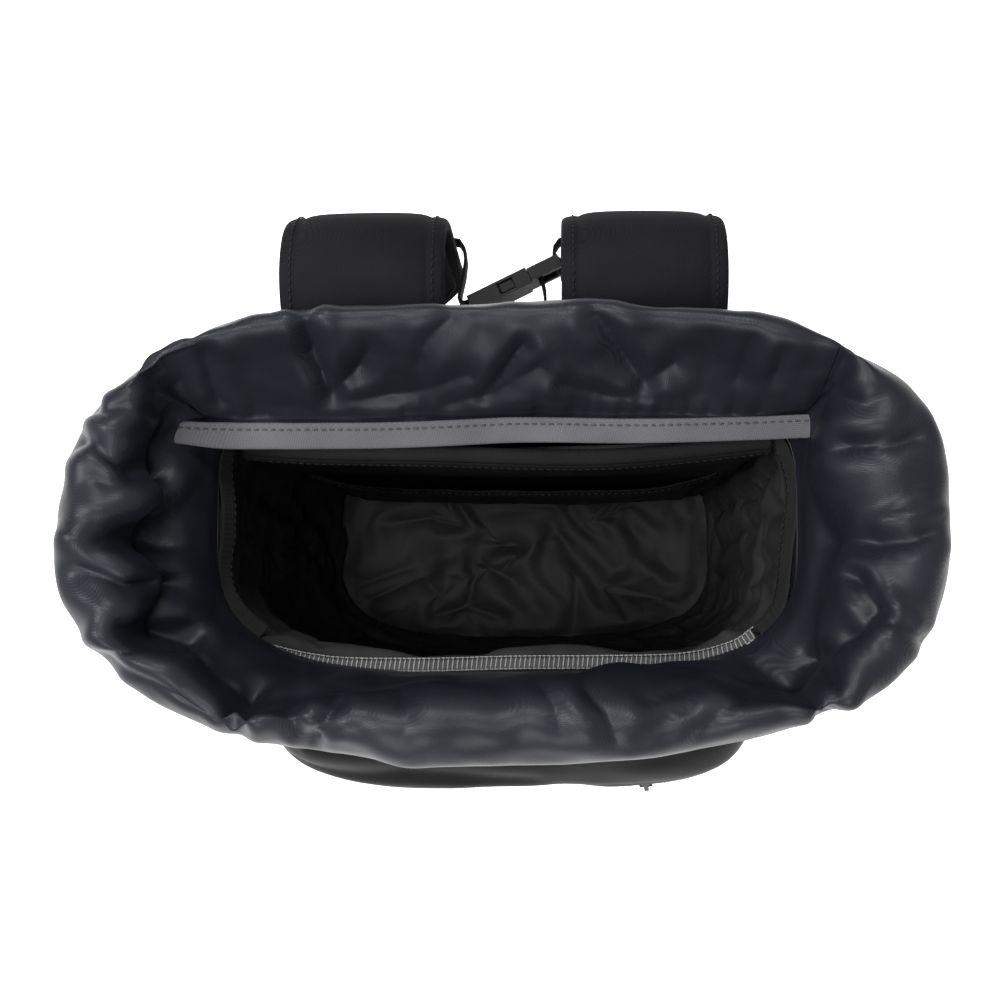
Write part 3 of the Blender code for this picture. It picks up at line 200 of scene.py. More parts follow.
def cloth(name, dark, light, roughness, weave=0.00055, weave_depth=0.25, crush=0.0, crush_size=0.03,
          gloss=0.4):
    """Woven cloth: two thread directions as fine bump and colour, faint mottling, optional small creases."""
    material, tree, shader = new_material(name)
    waves = []
    for axis in ("X", "Z"):
        turned = node_of(tree, "ShaderNodeMapping", object_place(tree), Rotation=WEAVE_TURN)
        wave = node_of(tree, "ShaderNodeTexWave", turned.outputs[0], Scale=WAVE_FACTOR / weave,
                       Distortion=0.6, Detail=1.0, Detail_Scale=0.5)
        wave.bands_direction = axis
        waves.append(wave.outputs["Fac"])
    threads = math_of(tree, "MULTIPLY", *waves)
    cloud = noise_of(tree, Scale=28.0, Detail=5.0).outputs["Fac"]
    faint = node_of(tree, "ShaderNodeMapRange", cloud, From_Min=0.3, From_Max=0.7, To_Min=0.0, To_Max=0.4)
    share = math_of(tree, "MULTIPLY_ADD", threads, 0.55, faint.outputs[0])
    rough = node_of(tree, "ShaderNodeMapRange", cloud, To_Min=roughness - 0.05, To_Max=roughness + 0.07)
    bump = bump_of(tree, threads, weave_depth, 0.0002)
    if crush:
        folds = noise_of(tree, Scale=1.0 / crush_size, Detail=3.0, Distortion=0.8)
        folds.noise_type = "RIDGED_MULTIFRACTAL"
        wide = bump_of(tree, folds.outputs["Fac"], crush, 0.0015)
        tree.links.new(wide.outputs[0], bump.inputs["Normal"])
    set_inputs(tree, shader, Base_Color=tones(tree, share, (0, dark), (1, light)), Roughness=rough.outputs[0],
               Specular_IOR_Level=gloss, Normal=bump.outputs[0])
    return material


def moulded(name, colour, roughness, grain, gloss):
    """Moulded plastic or lacquered metal with a fine grain and slight wear."""
    material, tree, shader = new_material(name)
    speck = noise_of(tree, Scale=2600.0, Detail=3.0).outputs["Fac"]
    cloud = noise_of(tree, Scale=150.0, Detail=4.0).outputs["Fac"]
    tone = tones(tree, cloud, (0.35, [c * 0.8 for c in colour]), (0.75, [c * 1.5 for c in colour]))
    rough = node_of(tree, "ShaderNodeMapRange", cloud, To_Min=roughness - 0.06, To_Max=roughness + 0.10)
    set_inputs(tree, shader, Base_Color=tone, Roughness=rough.outputs[0], Specular_IOR_Level=gloss,
               Normal=bump_of(tree, speck, grain, 0.0001).outputs[0])
    return material


NYLON = cloth("cuff_nylon", (0.006, 0.0065, 0.0094), (0.0165, 0.0177, 0.0236), 0.36, crush=0.42, gloss=0.15)
COATED = cloth("coated_shell", (0.0033, 0.0033, 0.0037), (0.0096, 0.0096, 0.0101), 0.42,
               crush=0.15, crush_size=0.06, gloss=0.07)
# painted shade: the lining cloth made darker for the sleeve pad, standing for the shadow under the tape and
# collar
SHADED_LINING = cloth("lining_painted_shade", (0.0128, 0.0134, 0.0125), (0.035, 0.0364, 0.0342),
               0.55, crush=0.1, gloss=0.12)
LINED = cloth("ripstop_lining", (0.017, 0.0176, 0.0168), (0.0455, 0.0468, 0.045),
              0.5, crush=0.12, gloss=0.18)
MATT = cloth("strap_cloth", (0.0055, 0.0051, 0.006), (0.014, 0.0132, 0.015),
             0.8, 0.0006, 0.35, gloss=0.05)
STRETCH = cloth("stretch_cloth", (0.005, 0.005, 0.0055), (0.015, 0.015, 0.016),
                0.7, 0.0008, 0.4, gloss=0.12)
MESH = cloth("spacer_mesh", (0.003, 0.003, 0.0032), (0.022, 0.022, 0.0235), 0.85, 0.0032, 0.9, gloss=0.1)
TAPE = cloth("grey_tape", (0.052, 0.0514, 0.0545), (0.123, 0.1205, 0.1275), 0.75, 0.0007, 0.5, gloss=0.1)
DARK_TAPE = cloth("binding_tape", (0.0055, 0.0056, 0.0058), (0.018, 0.0182, 0.0185),
                  0.75, 0.0008, 0.5, gloss=0.08)
WEBBING = cloth("webbing", (0.0028, 0.0028, 0.0033), (0.0115, 0.0115, 0.0124), 0.72, 0.0013, 0.8, gloss=0.06)
THREAD = cloth("seam_thread", (0.13, 0.13, 0.132), (0.3, 0.3, 0.305), 0.6, 0.0006, 0.3)
TAPE_THREAD = cloth("tape_thread", (0.025, 0.025, 0.0265), (0.06, 0.06, 0.062),
                    0.6, 0.0006, 0.3, gloss=0.2)
BLACK_THREAD = cloth("dark_thread", (0.0045, 0.0045, 0.005), (0.015, 0.015, 0.016), 0.7,
                     0.0006, 0.3, gloss=0.12)
ACETAL = moulded("acetal", (0.0018, 0.002, 0.0026), 0.32, grain=0.15, gloss=0.1)
ZINC = moulded("lacquered_zinc", (0.03, 0.03, 0.032), 0.3, grain=0.05, gloss=0.5)

SLOT_LOOKS = {
    "coated_cloth": COATED,
    "collar_nylon": NYLON,
    "lining_cloth": LINED,
    "dark_tape": DARK_TAPE,
    "strap_cloth": MATT,
    "spacer_mesh": MESH,
    "stretch_cloth": STRETCH,
    "grey_tape": TAPE,
    "webbing": WEBBING,
    "acetal": ACETAL,
    "zip_metal": ZINC,
}
SLOT_OF = {part["node"]: part["material_slot"] for part in frame["record"]["subparts"]}
for node_name, slot_name in SLOT_OF.items():
    target = frame["nodes"][node_name]
    target.data.materials.clear()
    target.data.materials.append(SLOT_LOOKS[slot_name])

# ---------------------------------------------------------------- geometry helpers

PIPING_RADIUS = 0.0011


def both_sides(*stems):
    return [f"{stem}_{side}" for stem in stems for side in ("left", "right")]


def lengths_along(points):
    """How far along the line each of its points lies."""
    return np.concatenate([[0], np.cumsum(np.linalg.norm(np.diff(points, axis=0), axis=1))])


def signed_power(value, power):
    return np.sign(value) * np.abs(value) ** power


def ease(t):
    t = np.clip(t, 0.0, 1.0)
    return t * t * (3 - 2 * t)


def spline(points, count, closed=False):
    """Catmull-Rom curve through the points, at even steps of chord length."""
    points = np.asarray(points, float)
    if closed:
        points = np.vstack([points[-1:], points, points[:2]])
    else:
        points = np.vstack([2 * points[0] - points[1], points, 2 * points[-1] - points[-2]])
    steps = []
    for a, b, c, d in zip(points[:-3], points[1:-2], points[2:-1], points[3:]):
        t = np.linspace(0, 1, 16, endpoint=False)[:, None]
        square, cube = 2 * a - 5 * b + 4 * c - d, 3 * b - a - 3 * c + d
        steps.append(0.5 * (2 * b + (c - a) * t + square * t**2 + cube * t**3))
    steps.append(points[-2:-1])
    steps = np.vstack(steps)
    run = lengths_along(steps)
    where = np.linspace(0, run[-1], count, endpoint=not closed)
    return np.stack([np.interp(where, run, steps[:, k]) for k in range(points.shape[1])], axis=1)


def spline_rows(rows, count):
    """A smooth curve down each column of the profile rows, all with the same number of points."""
    rows = np.asarray(rows, float)
    return np.stack([spline(rows[:, k], count) for k in range(rows.shape[1])], axis=1)


def seeded_noise(points, scale, seed, octaves=3):
    shift = Vector((seed * 7.31, seed * 3.17, seed * 5.71))
    flat = points.reshape(-1, 3)
    values = [noise.fractal(Vector(p) / scale + shift, 1.0, 2.0, octaves) for p in flat]
    return np.array(values).reshape(points.shape[:-1])


def normals_of(grid, closed=False):
    """Unit normals of a grid of points: the way across its columns times the way down its rows."""
    down = np.gradient(grid, axis=0)
    if closed:
        across = (np.roll(grid, -1, axis=1) - np.roll(grid, 1, axis=1)) / 2
    else:
        across = np.gradient(grid, axis=1)
    normal = np.cross(across, down)
    return normal / np.maximum(np.linalg.norm(normal, axis=2, keepdims=True), 1e-9)


def distance_to(points, line, weights):
    """Distance of each point to a polyline, with each axis weighted."""
    scaled = points * weights
    line = np.asarray(line, float) * weights
    best = np.full(points.shape[:-1], 1e9)
    for a, b in zip(line[:-1], line[1:]):
        span = b - a
        share = np.clip(((scaled - a) @ span) / max(span @ span, 1e-12), 0, 1)
        gap = np.linalg.norm(scaled - (a + share[..., None] * span), axis=-1)
        best = np.minimum(best, gap)
    return best


def press_creases(grid, normal, creases, weights, where=1.0):
    """Sharp valleys with a soft ridge on both sides, along given lines."""
    for depth, width, line in creases:
        gap = distance_to(grid, line, weights)
        valley = -1.1 * depth * np.exp(-gap / (0.8 * width))
        ridge = 0.40 * depth * np.exp(-(((gap - 2.4 * width) / (1.4 * width)) ** 2))
        grid = grid + normal * ((valley + ridge) * where)[..., None]
    return grid


def in_metres(creases):
    """Crease tables are in mm; a line in plan gets the height 0."""
    found = []
    for depth, width, line in creases:
        points = [(*(c / 1000 for c in point), 0)[:3] for point in line]
        found.append((depth / 1000, width / 1000, points))
    return found


def add_piece(name, vertices, faces, material):
    mesh = bpy.data.meshes.new(name)
    mesh.from_pydata(vertices, [], faces)
    mesh.materials.append(material)
    mesh.shade_smooth()
    piece = bpy.data.objects.new(name, mesh)
    bpy.context.scene.collection.objects.link(piece)
    return piece


def settle(piece, body, replaced=()):
    """Puts the piece on its body, if one is given, and hides the CAD pieces that it stands for."""
    if body:
        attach(piece, body)
    if replaced:
        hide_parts(*replaced)
    return piece


def quads_of(index):
    """The faces of a grid of vertex numbers, row by row."""
    corners = [index[:-1, :-1], index[:-1, 1:], index[1:, 1:], index[1:, :-1]]
    return np.stack(corners, axis=-1).reshape(-1, 4)


def ring_faces(rings, around, start=0):
    """The faces between closed rings of vertices that are numbered on from start."""
    faces = []
    for row in range(start, start + (rings - 1) * around, around):
        for k in range(around):
            a, b = row + k, row + (k + 1) % around
            faces.append((a, b, b + around, a + around))
    return faces


def grid_object(name, grid, material, closed=False):
    index = np.arange(grid.shape[0] * grid.shape[1]).reshape(grid.shape[:2])
    if closed:
        index = np.hstack([index, index[:, :1]])
    quads = quads_of(index)[:, [0, 3, 2, 1]]
    return add_piece(name, grid.reshape(-1, 3).tolist(), quads.tolist(), material)


def bake(piece):
    """Turns what the modifiers make of the piece into its own mesh."""
    graph = bpy.context.evaluated_depsgraph_get()
    graph.update()
    mesh = bpy.data.meshes.new_from_object(piece.evaluated_get(graph))
    piece.modifiers.clear()
    piece.data = mesh
    piece.vertex_groups.clear()
    mesh.shade_smooth()


def grow_cloth(grid, held, growth, bending, frames=18, closed=False):
    """The cloth is cut a little larger than its shape, so it buckles by itself into folds."""
    piece = grid_object("cloth_being_formed", grid, NYLON, closed)
    group = piece.vertex_groups.new(name="held")
    for level in range(11):
        near = np.nonzero(np.rint(held.reshape(-1) * 10).astype(int) == level)[0]
        group.add([int(i) for i in near], level / 10, "REPLACE")
    modifier = piece.modifiers.new("cloth", "CLOTH")
    cloth = modifier.settings
    cloth.quality = 5
    cloth.mass = 0.15
    cloth.tension_stiffness = 20
    cloth.compression_stiffness = 20
    cloth.shear_stiffness = 8
    cloth.bending_stiffness = bending
    cloth.tension_damping = 12
    cloth.compression_damping = 12
    cloth.shear_damping = 8
    cloth.bending_damping = 0.5
    cloth.air_damping = 2
    cloth.shrink_min = -growth
    cloth.vertex_group_mass = "held"
    cloth.pin_stiffness = 1.0
    cloth.effector_weights.gravity = 0.0
    modifier.point_cache.frame_start = 1
    modifier.point_cache.frame_end = frames
    for frame_number in range(1, frames + 1):
        bpy.context.scene.frame_set(frame_number)
    graph = bpy.context.evaluated_depsgraph_get()
    result = np.empty(grid.size)
    piece.evaluated_get(graph).data.vertices.foreach_get("co", result)
    mesh = piece.data
    bpy.data.objects.remove(piece)
    bpy.data.meshes.remove(mesh)
    bpy.context.scene.frame_set(1)
    return result.reshape(grid.shape)


def subdivide(piece):
    finer = piece.modifiers.new("finer", "SUBSURF")
    finer.levels = finer.render_levels = 1


def thicken(piece, thickness, offset=0.0):
    """Makes a grid's piece smoother and gives the sheet its thickness."""
    subdivide(piece)
    solid = piece.modifiers.new("thick", "SOLIDIFY")
    solid.thickness = thickness
    solid.offset = offset
    bake(piece)


def cloth_piece(name, grid, slot, replaced=(), closed=False, thickness=0.0006, body="pack"):
    piece = grid_object(name, grid, SLOT_LOOKS[slot], closed)
    thicken(piece, thickness)
    return settle(piece, body, replaced)


# ---------------------------------------------------------------- the turned-out collar

# Ovals in plan: half width, front, back, power in front, power behind; their heights are given apart.
NECK = (0.1275, -0.0575, 0.0655, 3.2, 5.0)
OUTLINE = (0.1820, -0.0915, 0.0955, 2.45, 2.85)
NECK_Z = (0.4035, 0.4035, 0.4150)  # at the sides, in front and behind
SEAM_ANGLES = (48.0, 132.0)  # the two seams behind, which part the collar's back from the rest

# The roll's inner edge seen from above, counterclockwise from the left end of the grey tape, in mm.
ROLL_EDGE = (
    (-138.8, 45.8), (-144.5, 32.1), (-138.4, 21.7), (-138.8, 13.6), (-150.3, 3.5), (-151.9, -3.3),
    (-145.7, -7.8), (-139.6, -14.6), (-140.4, -24.3), (-146.0, -33.8), (-146.3, -40.6), (-137.4, -43.0),
    (-129.5, -46.0), (-121.0, -53.0), (-112.4, -62.8), (-101.4, -69.7), (-85.2, -65.4), (-61.0, -61.0),
    (-32.8, -58.5), (-0.6, -57.7), (31.7, -58.1), (63.9, -59.8), (99.0, -62.4), (117.5, -65.8),
    (128.2, -67.8), (136.3, -57.7), (141.3, -41.6), (144.5, -25.5), (150.8, -7.8), (153.0, -1.5),
    (149.8, 6.7), (143.3, 20.0), (138.9, 30.9), (138.5, 39.0),
)
# and from its right end back along the tape
TAPE_SIDE = ((125.0, 53.5), (60.0, 55.0), (0.0, 55.0), (-60.0, 55.0), (-125.0, 53.5))
COLUMNS = 420  # round the collar
ROWS = 66  # from the neck to the hem
TAPE_REACH = 0.1286  # half the length over which the back sheet meets the tape
EDGE_Z = 0.452  # the roll's inner edge
BULGE_Z = 0.4500  # where the roll is widest
CREST_Z = 0.4765


def oval(angle, half, front, back, front_power, back_power):
    angle = np.radians(angle)
    across, along = np.cos(angle), np.sin(angle)
    power = np.where(along >= 0, back_power, front_power)
    middle, depth = (front + back) / 2, (back - front) / 2
    x = signed_power(across, 2 / power) * half
    y = middle + signed_power(along, 2 / power) * depth
    return np.stack([x, y], axis=-1)


def end_heights(angle, sides, front, back):
    along = np.sin(np.radians(angle))
    return sides + (np.where(along >= 0, back, front) - sides) * ease(np.abs(along) / 0.95)


def polar(points):
    return np.degrees(np.arctan2(points[..., 1], points[..., 0])) % 360


def collar_angles():
    """Column angles, spaced so that the columns lie evenly along the outline."""
    fine = np.linspace(0, 360, 3601)
    run = lengths_along(oval(fine, *OUTLINE))
    return np.interp(np.arange(COLUMNS) * run[-1] / COLUMNS, run, fine)


def roll_edge(angles):
    """The inner edge of the roll for each column, found by its direction from the middle."""
    edge = spline([(x / 1000, y / 1000) for x, y in ROLL_EDGE + TAPE_SIDE], 1400, closed=True)
    order = np.argsort(polar(edge))
    way = polar(oval(angles, *OUTLINE))
    table = polar(edge)[order]
    table = np.concatenate([table - 360, table, table + 360])
    radius = np.linalg.norm(edge, axis=1)[order]
    radius = np.interp(way, table, np.concatenate([radius] * 3))
    return np.stack([np.cos(np.radians(way)), np.sin(np.radians(way))], axis=-1) * radius[:, None]


def with_height(plan, height):
    heights = np.broadcast_to(np.asarray(height, float).reshape(-1, 1), plan.shape[:1] + (1,))
    return np.concatenate([plan, heights], axis=1)


def collar_grid():
    angles = collar_angles()
    neck = oval(angles, *NECK)
    outline = oval(angles, *OUTLINE)
    edge = roll_edge(angles)
    neck_z = end_heights(angles, *NECK_Z)
    # the front right corner lies open: its inner side is one long slope, without an edge
    open_right = ease((62 - np.abs((angles - 338 + 180) % 360 - 180)) / 22)
    # the left side rolls over: below its edge the cloth runs back under the roll
    tucked = ease((62 - np.abs(angles - 188)) / 24)
    edge_z = EDGE_Z - 0.024 * open_right
    edge = edge - 0.010 * open_right[:, None] * edge / np.linalg.norm(edge, axis=1, keepdims=True)
    rows = [with_height(neck, neck_z)]
    for share, under, height in ((0.10, 0.00, 0.20), (0.30, 0.04, 0.48), (0.80, 0.12, 0.80)):
        plan = neck + (edge - neck) * share + (outline - neck) * (under * tucked)[:, None]
        rows.append(with_height(plan, neck_z + (edge_z - neck_z) * height))
    rows.append(with_height(edge, edge_z))
    for turn in (22, 45, 70, 95, 120, 145, 165):
        share = (1 - math.cos(math.radians(turn))) / 2
        low = edge_z + (BULGE_Z - edge_z) * share
        rise = (CREST_Z - BULGE_Z) * math.sin(math.radians(turn)) * (1.0 + 0.25 * open_right * (1 - share))
        rows.append(with_height(edge + (outline - edge) * share, low + rise))
    for size, height in ((1, BULGE_Z), (0.995, 0.4320), (0.985, 0.4065)):
        rows.append(with_height(outline * size, height))
    main = spline_rows(rows, ROWS)
    # behind, one sheet runs from the hem over the crest down to the tape
    tape_x = np.interp(outline[:, 0] / 0.135, (-0.95, 0.95), (-1, 1)) * TAPE_REACH
    along = np.clip(tape_x / TAPE_REACH, -1, 1)
    tape = np.stack([tape_x, 0.0462 + 0.0012 * along**2], axis=1)
    slope = []
    for share, height in ((0.0, 0.4254), (0.11, 0.4274), (0.20, 0.4335), (0.36, 0.4450), (0.54, 0.4575),
                          (0.70, 0.4685), (0.82, 0.4752), (0.91, 0.4762)):
        plan = tape + (outline - tape) * share
        slope.append(with_height(plan, height + 0.0012 * along**2 * (1 - share)))
    for wide, deep, height in ((0.995, 0.985, 0.4680), (1, 1, 0.4550), (1, 0.995, 0.4370), (1, 0.99, 0.4200)):
        slope.append(with_height(outline * (wide, deep), height))
    back = spline_rows(slope, ROWS)
    turned = (angles + 90) % 360
    away = np.maximum(SEAM_ANGLES[0] - turned + 90, turned - 90 - SEAM_ANGLES[1])
    share = ease(1 - away / 24.0)[None, :, None]
    return angles, main * (1 - share) + back * share


# depth and width in mm, then the line of the valley in plan, in mm
COLLAR_CREASES = (
    (5.0, 4.0, ((-172, 39), (-164, 38), (-156, 31), (-147, 27))),
    (4.0, 4.0, ((-161, 23), (-155, 20), (-149, 23))),
    (4.5, 4.5, ((-160, -2), (-152, -1), (-146, -3))),
    (-1.5, 3.0, ((-175, 0), (-163, -1), (-155, -2))),
    (6.0, 4.5, ((-168, -14), (-157, -16), (-149, -19), (-140, -18))),
    (5.0, 4.0, ((-161, -50), (-144, -44), (-130, -43))),
    (4.0, 4.0, ((-150, -36), (-141, -39), (-134, -42))),
    (3.0, 3.5, ((-161, -49), (-150, -55), (-140, -58), (-125, -65), (-105, -76))),
    (1.6, 3.0, ((-157, 63), (-150, 69), (-143, 75))),
    (1.8, 3.0, ((-152, 57), (-143, 63), (-139, 68))),
    (2.0, 3.0, ((-142, 54), (-139, 60), (-131, 66))),
    (3.0, 2.8, ((-166, 52), (-158, 50), (-150, 52))),
    (3.2, 3.0, ((-84, -68), (-80, -76), (-76, -83))),
    (3.0, 3.0, ((-65, -65), (-70, -75), (-76, -83))),
    (5.0, 3.5, ((-104, -66), (-105, -73), (-107, -82), (-107, -90))),
    (1.6, 3.5, ((16, -59), (22, -67), (24, -76))),
    (1.8, 3.5, ((34, -61), (42, -70), (45, -80))),
    (1.6, 3.2, ((59, -66), (68, -62), (77, -60))),
    (2.2, 3.4, ((79, -79), (89, -68), (99, -63))),
    (1.5, 3.0, ((55, -80), (66, -72), (73, -68))),
    (1.3, 4.0, ((-40, -62), (-36, -72), (-38, -80))),
    (2.4, 3.6, ((134, 57), (144, 51), (151, 54))),
    (1.6, 3.0, ((133, 62), (138, 72), (143, 76))),
    (4.0, 3.8, ((138, 36), (157, 36), (166, 40))),
    (-1.6, 3.0, ((153, 6), (164, 8), (176, 11))),
    (4.0, 3.6, ((150, -3), (162, -2), (171, 1))),
    (3.5, 2.4, ((143, -16), (146, -25), (151, -31))),
    (2.0, 2.0, ((143, -16), (149, -21), (151, -31))),
    (3.0, 2.4, ((146, -31), (151, -35), (158, -34))),
    (4.5, 4.0, ((124, -54), (133, -46), (141, -38), (147, -31))),
    (2.5, 3.0, ((159, -36), (169, -42))),
    (5.0, 3.5, ((131, -50), (132, -62), (131, -73))),
    (3.0, 3.0, ((120, -60), (126, -66), (131, -73))),
    (3.0, 4.0, ((99, -61), (117, -63), (130, -72))),
    (2.2, 4.0, ((130, -9), (126, -25), (121, -41))),
)
BACK_CREASES = (
    (4.0, 3.2, ((-78, 88), (-77, 76), (-73, 61))),
    (2.8, 3.0, ((-54, 76), (-63, 67), (-72, 60))),
    (2.6, 3.0, ((-119, 74), (-121, 63), (-119, 57))),
    (2.2, 3.0, ((-92, 53), (-59, 58), (-34, 62), (-13, 67))),
    (4.0, 3.0, ((-7, 60), (3, 70), (9, 76))),
    (3.0, 3.0, ((-24, 56), (-1, 60), (16, 69))),
    (4.2, 3.6, ((38, 87), (46, 77), (58, 64))),
    (2.4, 3.0, ((71, 71), (64, 66), (59, 63))),
    (2.0, 2.6, ((24, 63), (44, 59), (66, 57))),
    (2.0, 3.0, ((100, 77), (98, 66))),
    (1.8, 2.5, ((113, 72), (112, 66))),
    (2.0, 3.0, ((-20, 86), (-30, 78), (-34, 70))),
)
PUCKERS_X = (-115, -106, -101, -41, -35, 15, 30, 36, 42, 50, 57, 66, 71, 78, 87, 97, 108)


def form_collar():
    angles, grid = collar_grid()
    normal = normals_of(grid, closed=True)
    if normal[ROWS // 2, 0, 2] < 0:
        normal = -normal
    down = np.linspace(0, 1, ROWS)[:, None]
    outer = ease((down - 0.62) / 0.14) * np.ones((1, COLUMNS))
    top = ease(normal[..., 2] * 1.6 + 0.25) * ease((grid[..., 2] - 0.415) / 0.02)
    soft = seeded_noise(grid, 0.060, 3, 2) * 0.0050 + seeded_noise(grid, 0.022, 5, 2) * 0.0010
    behind = (angles > SEAM_ANGLES[0]) & (angles < SEAM_ANGLES[1])
    flat = np.where(behind[None, :], ease((down * ROWS - 4) / 7), 1.0)
    calm = (1 - 0.85 * outer) * flat
    grid = grid + normal * (soft * calm * ease((grid[..., 2] - 0.407) / 0.012))[..., None]
    for creases in (COLLAR_CREASES, BACK_CREASES):
        grid = press_creases(grid, normal, in_metres(creases), (1, 1, 0), top * calm)
    for x in PUCKERS_X:
        near = np.exp(-(((grid[..., 0] - x / 1000) / 0.0022) ** 2)) * ease((0.0620 - grid[..., 1]) / 0.008)
        near = near * ease((grid[..., 1] - 0.0505) / 0.003)
        grid = grid - normal * (near * 0.0014 * behind[None, :])[..., None]
    # 1 holds a point where it is, 0.1 leaves it nearly free
    held = 0.1 + 0.4 * outer
    front = ease((np.abs(angles - 270) - 30) / 25)
    held = np.maximum(held, 0.3 * (1 - front)[None, :])
    held[:1] = 1.0
    held[1:3] = 0.5
    held[:5, behind] = 1.0
    held[-2:] = 1.0
    grid = grow_cloth(grid, held, growth=0.045, bending=2.5, closed=True)
    return angles, grid


collar_columns, collar = form_collar()
first_back = int(np.searchsorted(collar_columns, SEAM_ANGLES[0]))
last_back = int(np.searchsorted(collar_columns, SEAM_ANGLES[1]))
back_sheet = collar[:, first_back : last_back + 1]
LAP = 12  # columns by which the main sheet runs on under the back, as a gusset when the flap is lifted
LAP_DEPTH = 0.0022
LAP_RAMP = 6  # columns over which it dips to that depth
main_sheet = np.concatenate([collar[:, last_back - LAP :], collar[:, : first_back + 1 + LAP]], axis=1)
under = normals_of(main_sheet)
under *= np.sign(under[ROWS // 2, :, 2].mean())
lapped = np.zeros(main_sheet.shape[1])
lapped[:LAP] = np.minimum(1.0, (LAP - np.arange(LAP)) / LAP_RAMP)
lapped[-LAP:] = lapped[:LAP][::-1]
main_sheet = main_sheet - under * (LAP_DEPTH * lapped)[None, :, None]
cuff_main = cloth_piece("cuff_main", main_sheet, "collar_nylon",
                        ("collar_left", "collar_front", "collar_right", "collar_hem"))
cuff_back = cloth_piece("cuff_back", back_sheet, "collar_nylon", ("collar_back", "laptop_flap"), body=None)
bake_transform(cuff_back)


FACING_ANGLES = (37, 143)
FACING_Z = (0.4040, 0.4425)  # the upright part of the back wall


def build_back_facing():
    """The collar's own back wall, which stands behind the flap and leans out under the roll's crest."""
    angles = np.linspace(*FACING_ANGLES, 120)
    foot = oval(angles, *NECK)
    rows = []
    for share in np.linspace(0, 1, 22):
        plan = foot * (1 + 0.045 * share) + (0, 0.004 * share)
        rows.append(with_height(plan, FACING_Z[0] + share * (FACING_Z[1] - FACING_Z[0])))
    for share in np.linspace(0.15, 1, 8):
        rows.append(with_height(plan + (0, 0.0165 * share), FACING_Z[1] + share * 0.0190))
    grid = np.stack(rows)
    grid[..., 1] += seeded_noise(grid, 0.030, 7, 2) * 0.0012
    cloth_piece("cuff_facing", grid, "collar_nylon")


build_back_facing()

# ---------------------------------------------------------------- shared shapes of the bag

SEAM_Z = 0.405
BODY_FULL_Z = 0.120  # from here up the bag has its full plan
FOOT_HALF, FOOT_FRONT, WALL_BACK = 0.130, -0.056, 0.070  # the wall's plan at the foot
WIDER, DEEPER = 0.008, 0.012  # how far the full plan goes beyond the foot's, at each side and in front
DRAWN_IN, DRAWN_RUN = 0.005, 0.045  # the wall draws in by this, over this height under the seam
WALL_POWERS = (3.2, 5.0)
PAD_FACE_Y = 0.076737  # the back panel's face, on which the pads lie


def wall_ring(angles, z, outwards):
    """Points of the bag's wall at a height, outwards of its outer face."""
    share = ease(np.float64(z / BODY_FULL_Z))
    drawn_in = DRAWN_IN * ease(np.float64((z - (SEAM_Z - DRAWN_RUN)) / DRAWN_RUN))
    half = FOOT_HALF + WIDER * share - drawn_in
    front = FOOT_FRONT - DEEPER * share + drawn_in
    return with_height(oval(angles, half + outwards, front - outwards, WALL_BACK + outwards, *WALL_POWERS), z)


def even_angles(start, end, count):
    """Angles that lie evenly along the wall."""
    fine = np.linspace(start, end, 1200)
    run = lengths_along(wall_ring(fine, 0.2, 0))
    return np.interp(np.linspace(0, run[-1], count), run, fine)


def wall_grid(angles, heights, outwards):
    return np.stack([wall_ring(angles, z, outwards) for z in heights])


def outward_normals(grid, closed=False):
    """Normals of a wall, turned away from the bag's middle."""
    normal = normals_of(grid, closed)
    return np.sign((normal * (grid * (1, 1, 0))).sum(axis=2, keepdims=True)) * normal


def keep_inside(grid, limit):
    """Puts the points that passed the limit, which has the same rows and columns, back onto it."""
    out = np.linalg.norm(grid[..., :2], axis=2) > np.linalg.norm(limit[..., :2], axis=2)
    grid[out] = limit[out]


def stitches(name, line, up, material=BLACK_THREAD, spacing=0.0034, length=0.0024, width=0.00045,
             body="pack", across=False, lean=0.0):
    """A row of thread loops on a line; up is the outward direction of the cloth under it."""
    line = np.asarray(line, float)
    run = lengths_along(line)
    count = max(2, int(run[-1] / spacing))
    ups = np.broadcast_to(np.asarray(up, float), line.shape)

    def at(values, where):
        return np.array([np.interp(where, run, values[:, k]) for k in range(3)])

    vertices, faces = [], []
    for number, middle in enumerate((np.arange(count) + 0.5) * run[-1] / count):
        centre = at(line, middle)
        ahead = at(line, middle + 0.0005) - at(line, middle - 0.0005)
        ahead /= max(np.linalg.norm(ahead), 1e-9)
        out = at(ups, middle)
        out /= np.linalg.norm(out)
        side = np.cross(out, ahead)
        side /= max(np.linalg.norm(side), 1e-9)
        if across:
            ahead, side = side + lean * ahead, ahead
        wobble = 1 + 0.08 * math.sin(number * 2.4)
        base = len(vertices)
        for share, size in ((-0.5, 0.35), (-0.3, 1.0), (0.3, 1.0), (0.5, 0.35)):
            for turn in range(6):
                a = turn * math.pi / 3
                offset = side * math.cos(a) * width * size + out * (math.sin(a) * width * size * 0.8 + 0.0001)
                vertices.append(tuple(centre + ahead * share * length * wobble + offset))
        faces += ring_faces(4, 6, base)
        faces.append(tuple(base + turn for turn in reversed(range(6))))
        faces.append(tuple(base + 18 + turn for turn in range(6)))
    settle(add_piece(name, vertices, faces, material), body)


def loft_closed(name, rings, slot, replaced=(), smooth=True, body="pack", material=None):
    """Closed rings of points joined along their length and closed at both ends."""
    rings = np.asarray(rings, float)
    count, around = rings.shape[:2]
    vertices = rings.reshape(-1, 3).tolist()
    faces = ring_faces(count, around)
    for row, flip in ((0, True), (count - 1, False)):
        middle = len(vertices)
        vertices.append(rings[row].mean(axis=0).tolist())
        for k in range(around):
            a, b = row * around + k, row * around + (k + 1) % around
            faces.append((b, a, middle) if flip else (a, b, middle))
    piece = add_piece(name, vertices, faces, material or SLOT_LOOKS[slot])
    if smooth:
        subdivide(piece)
    bake(piece)
    return settle(piece, body, replaced)


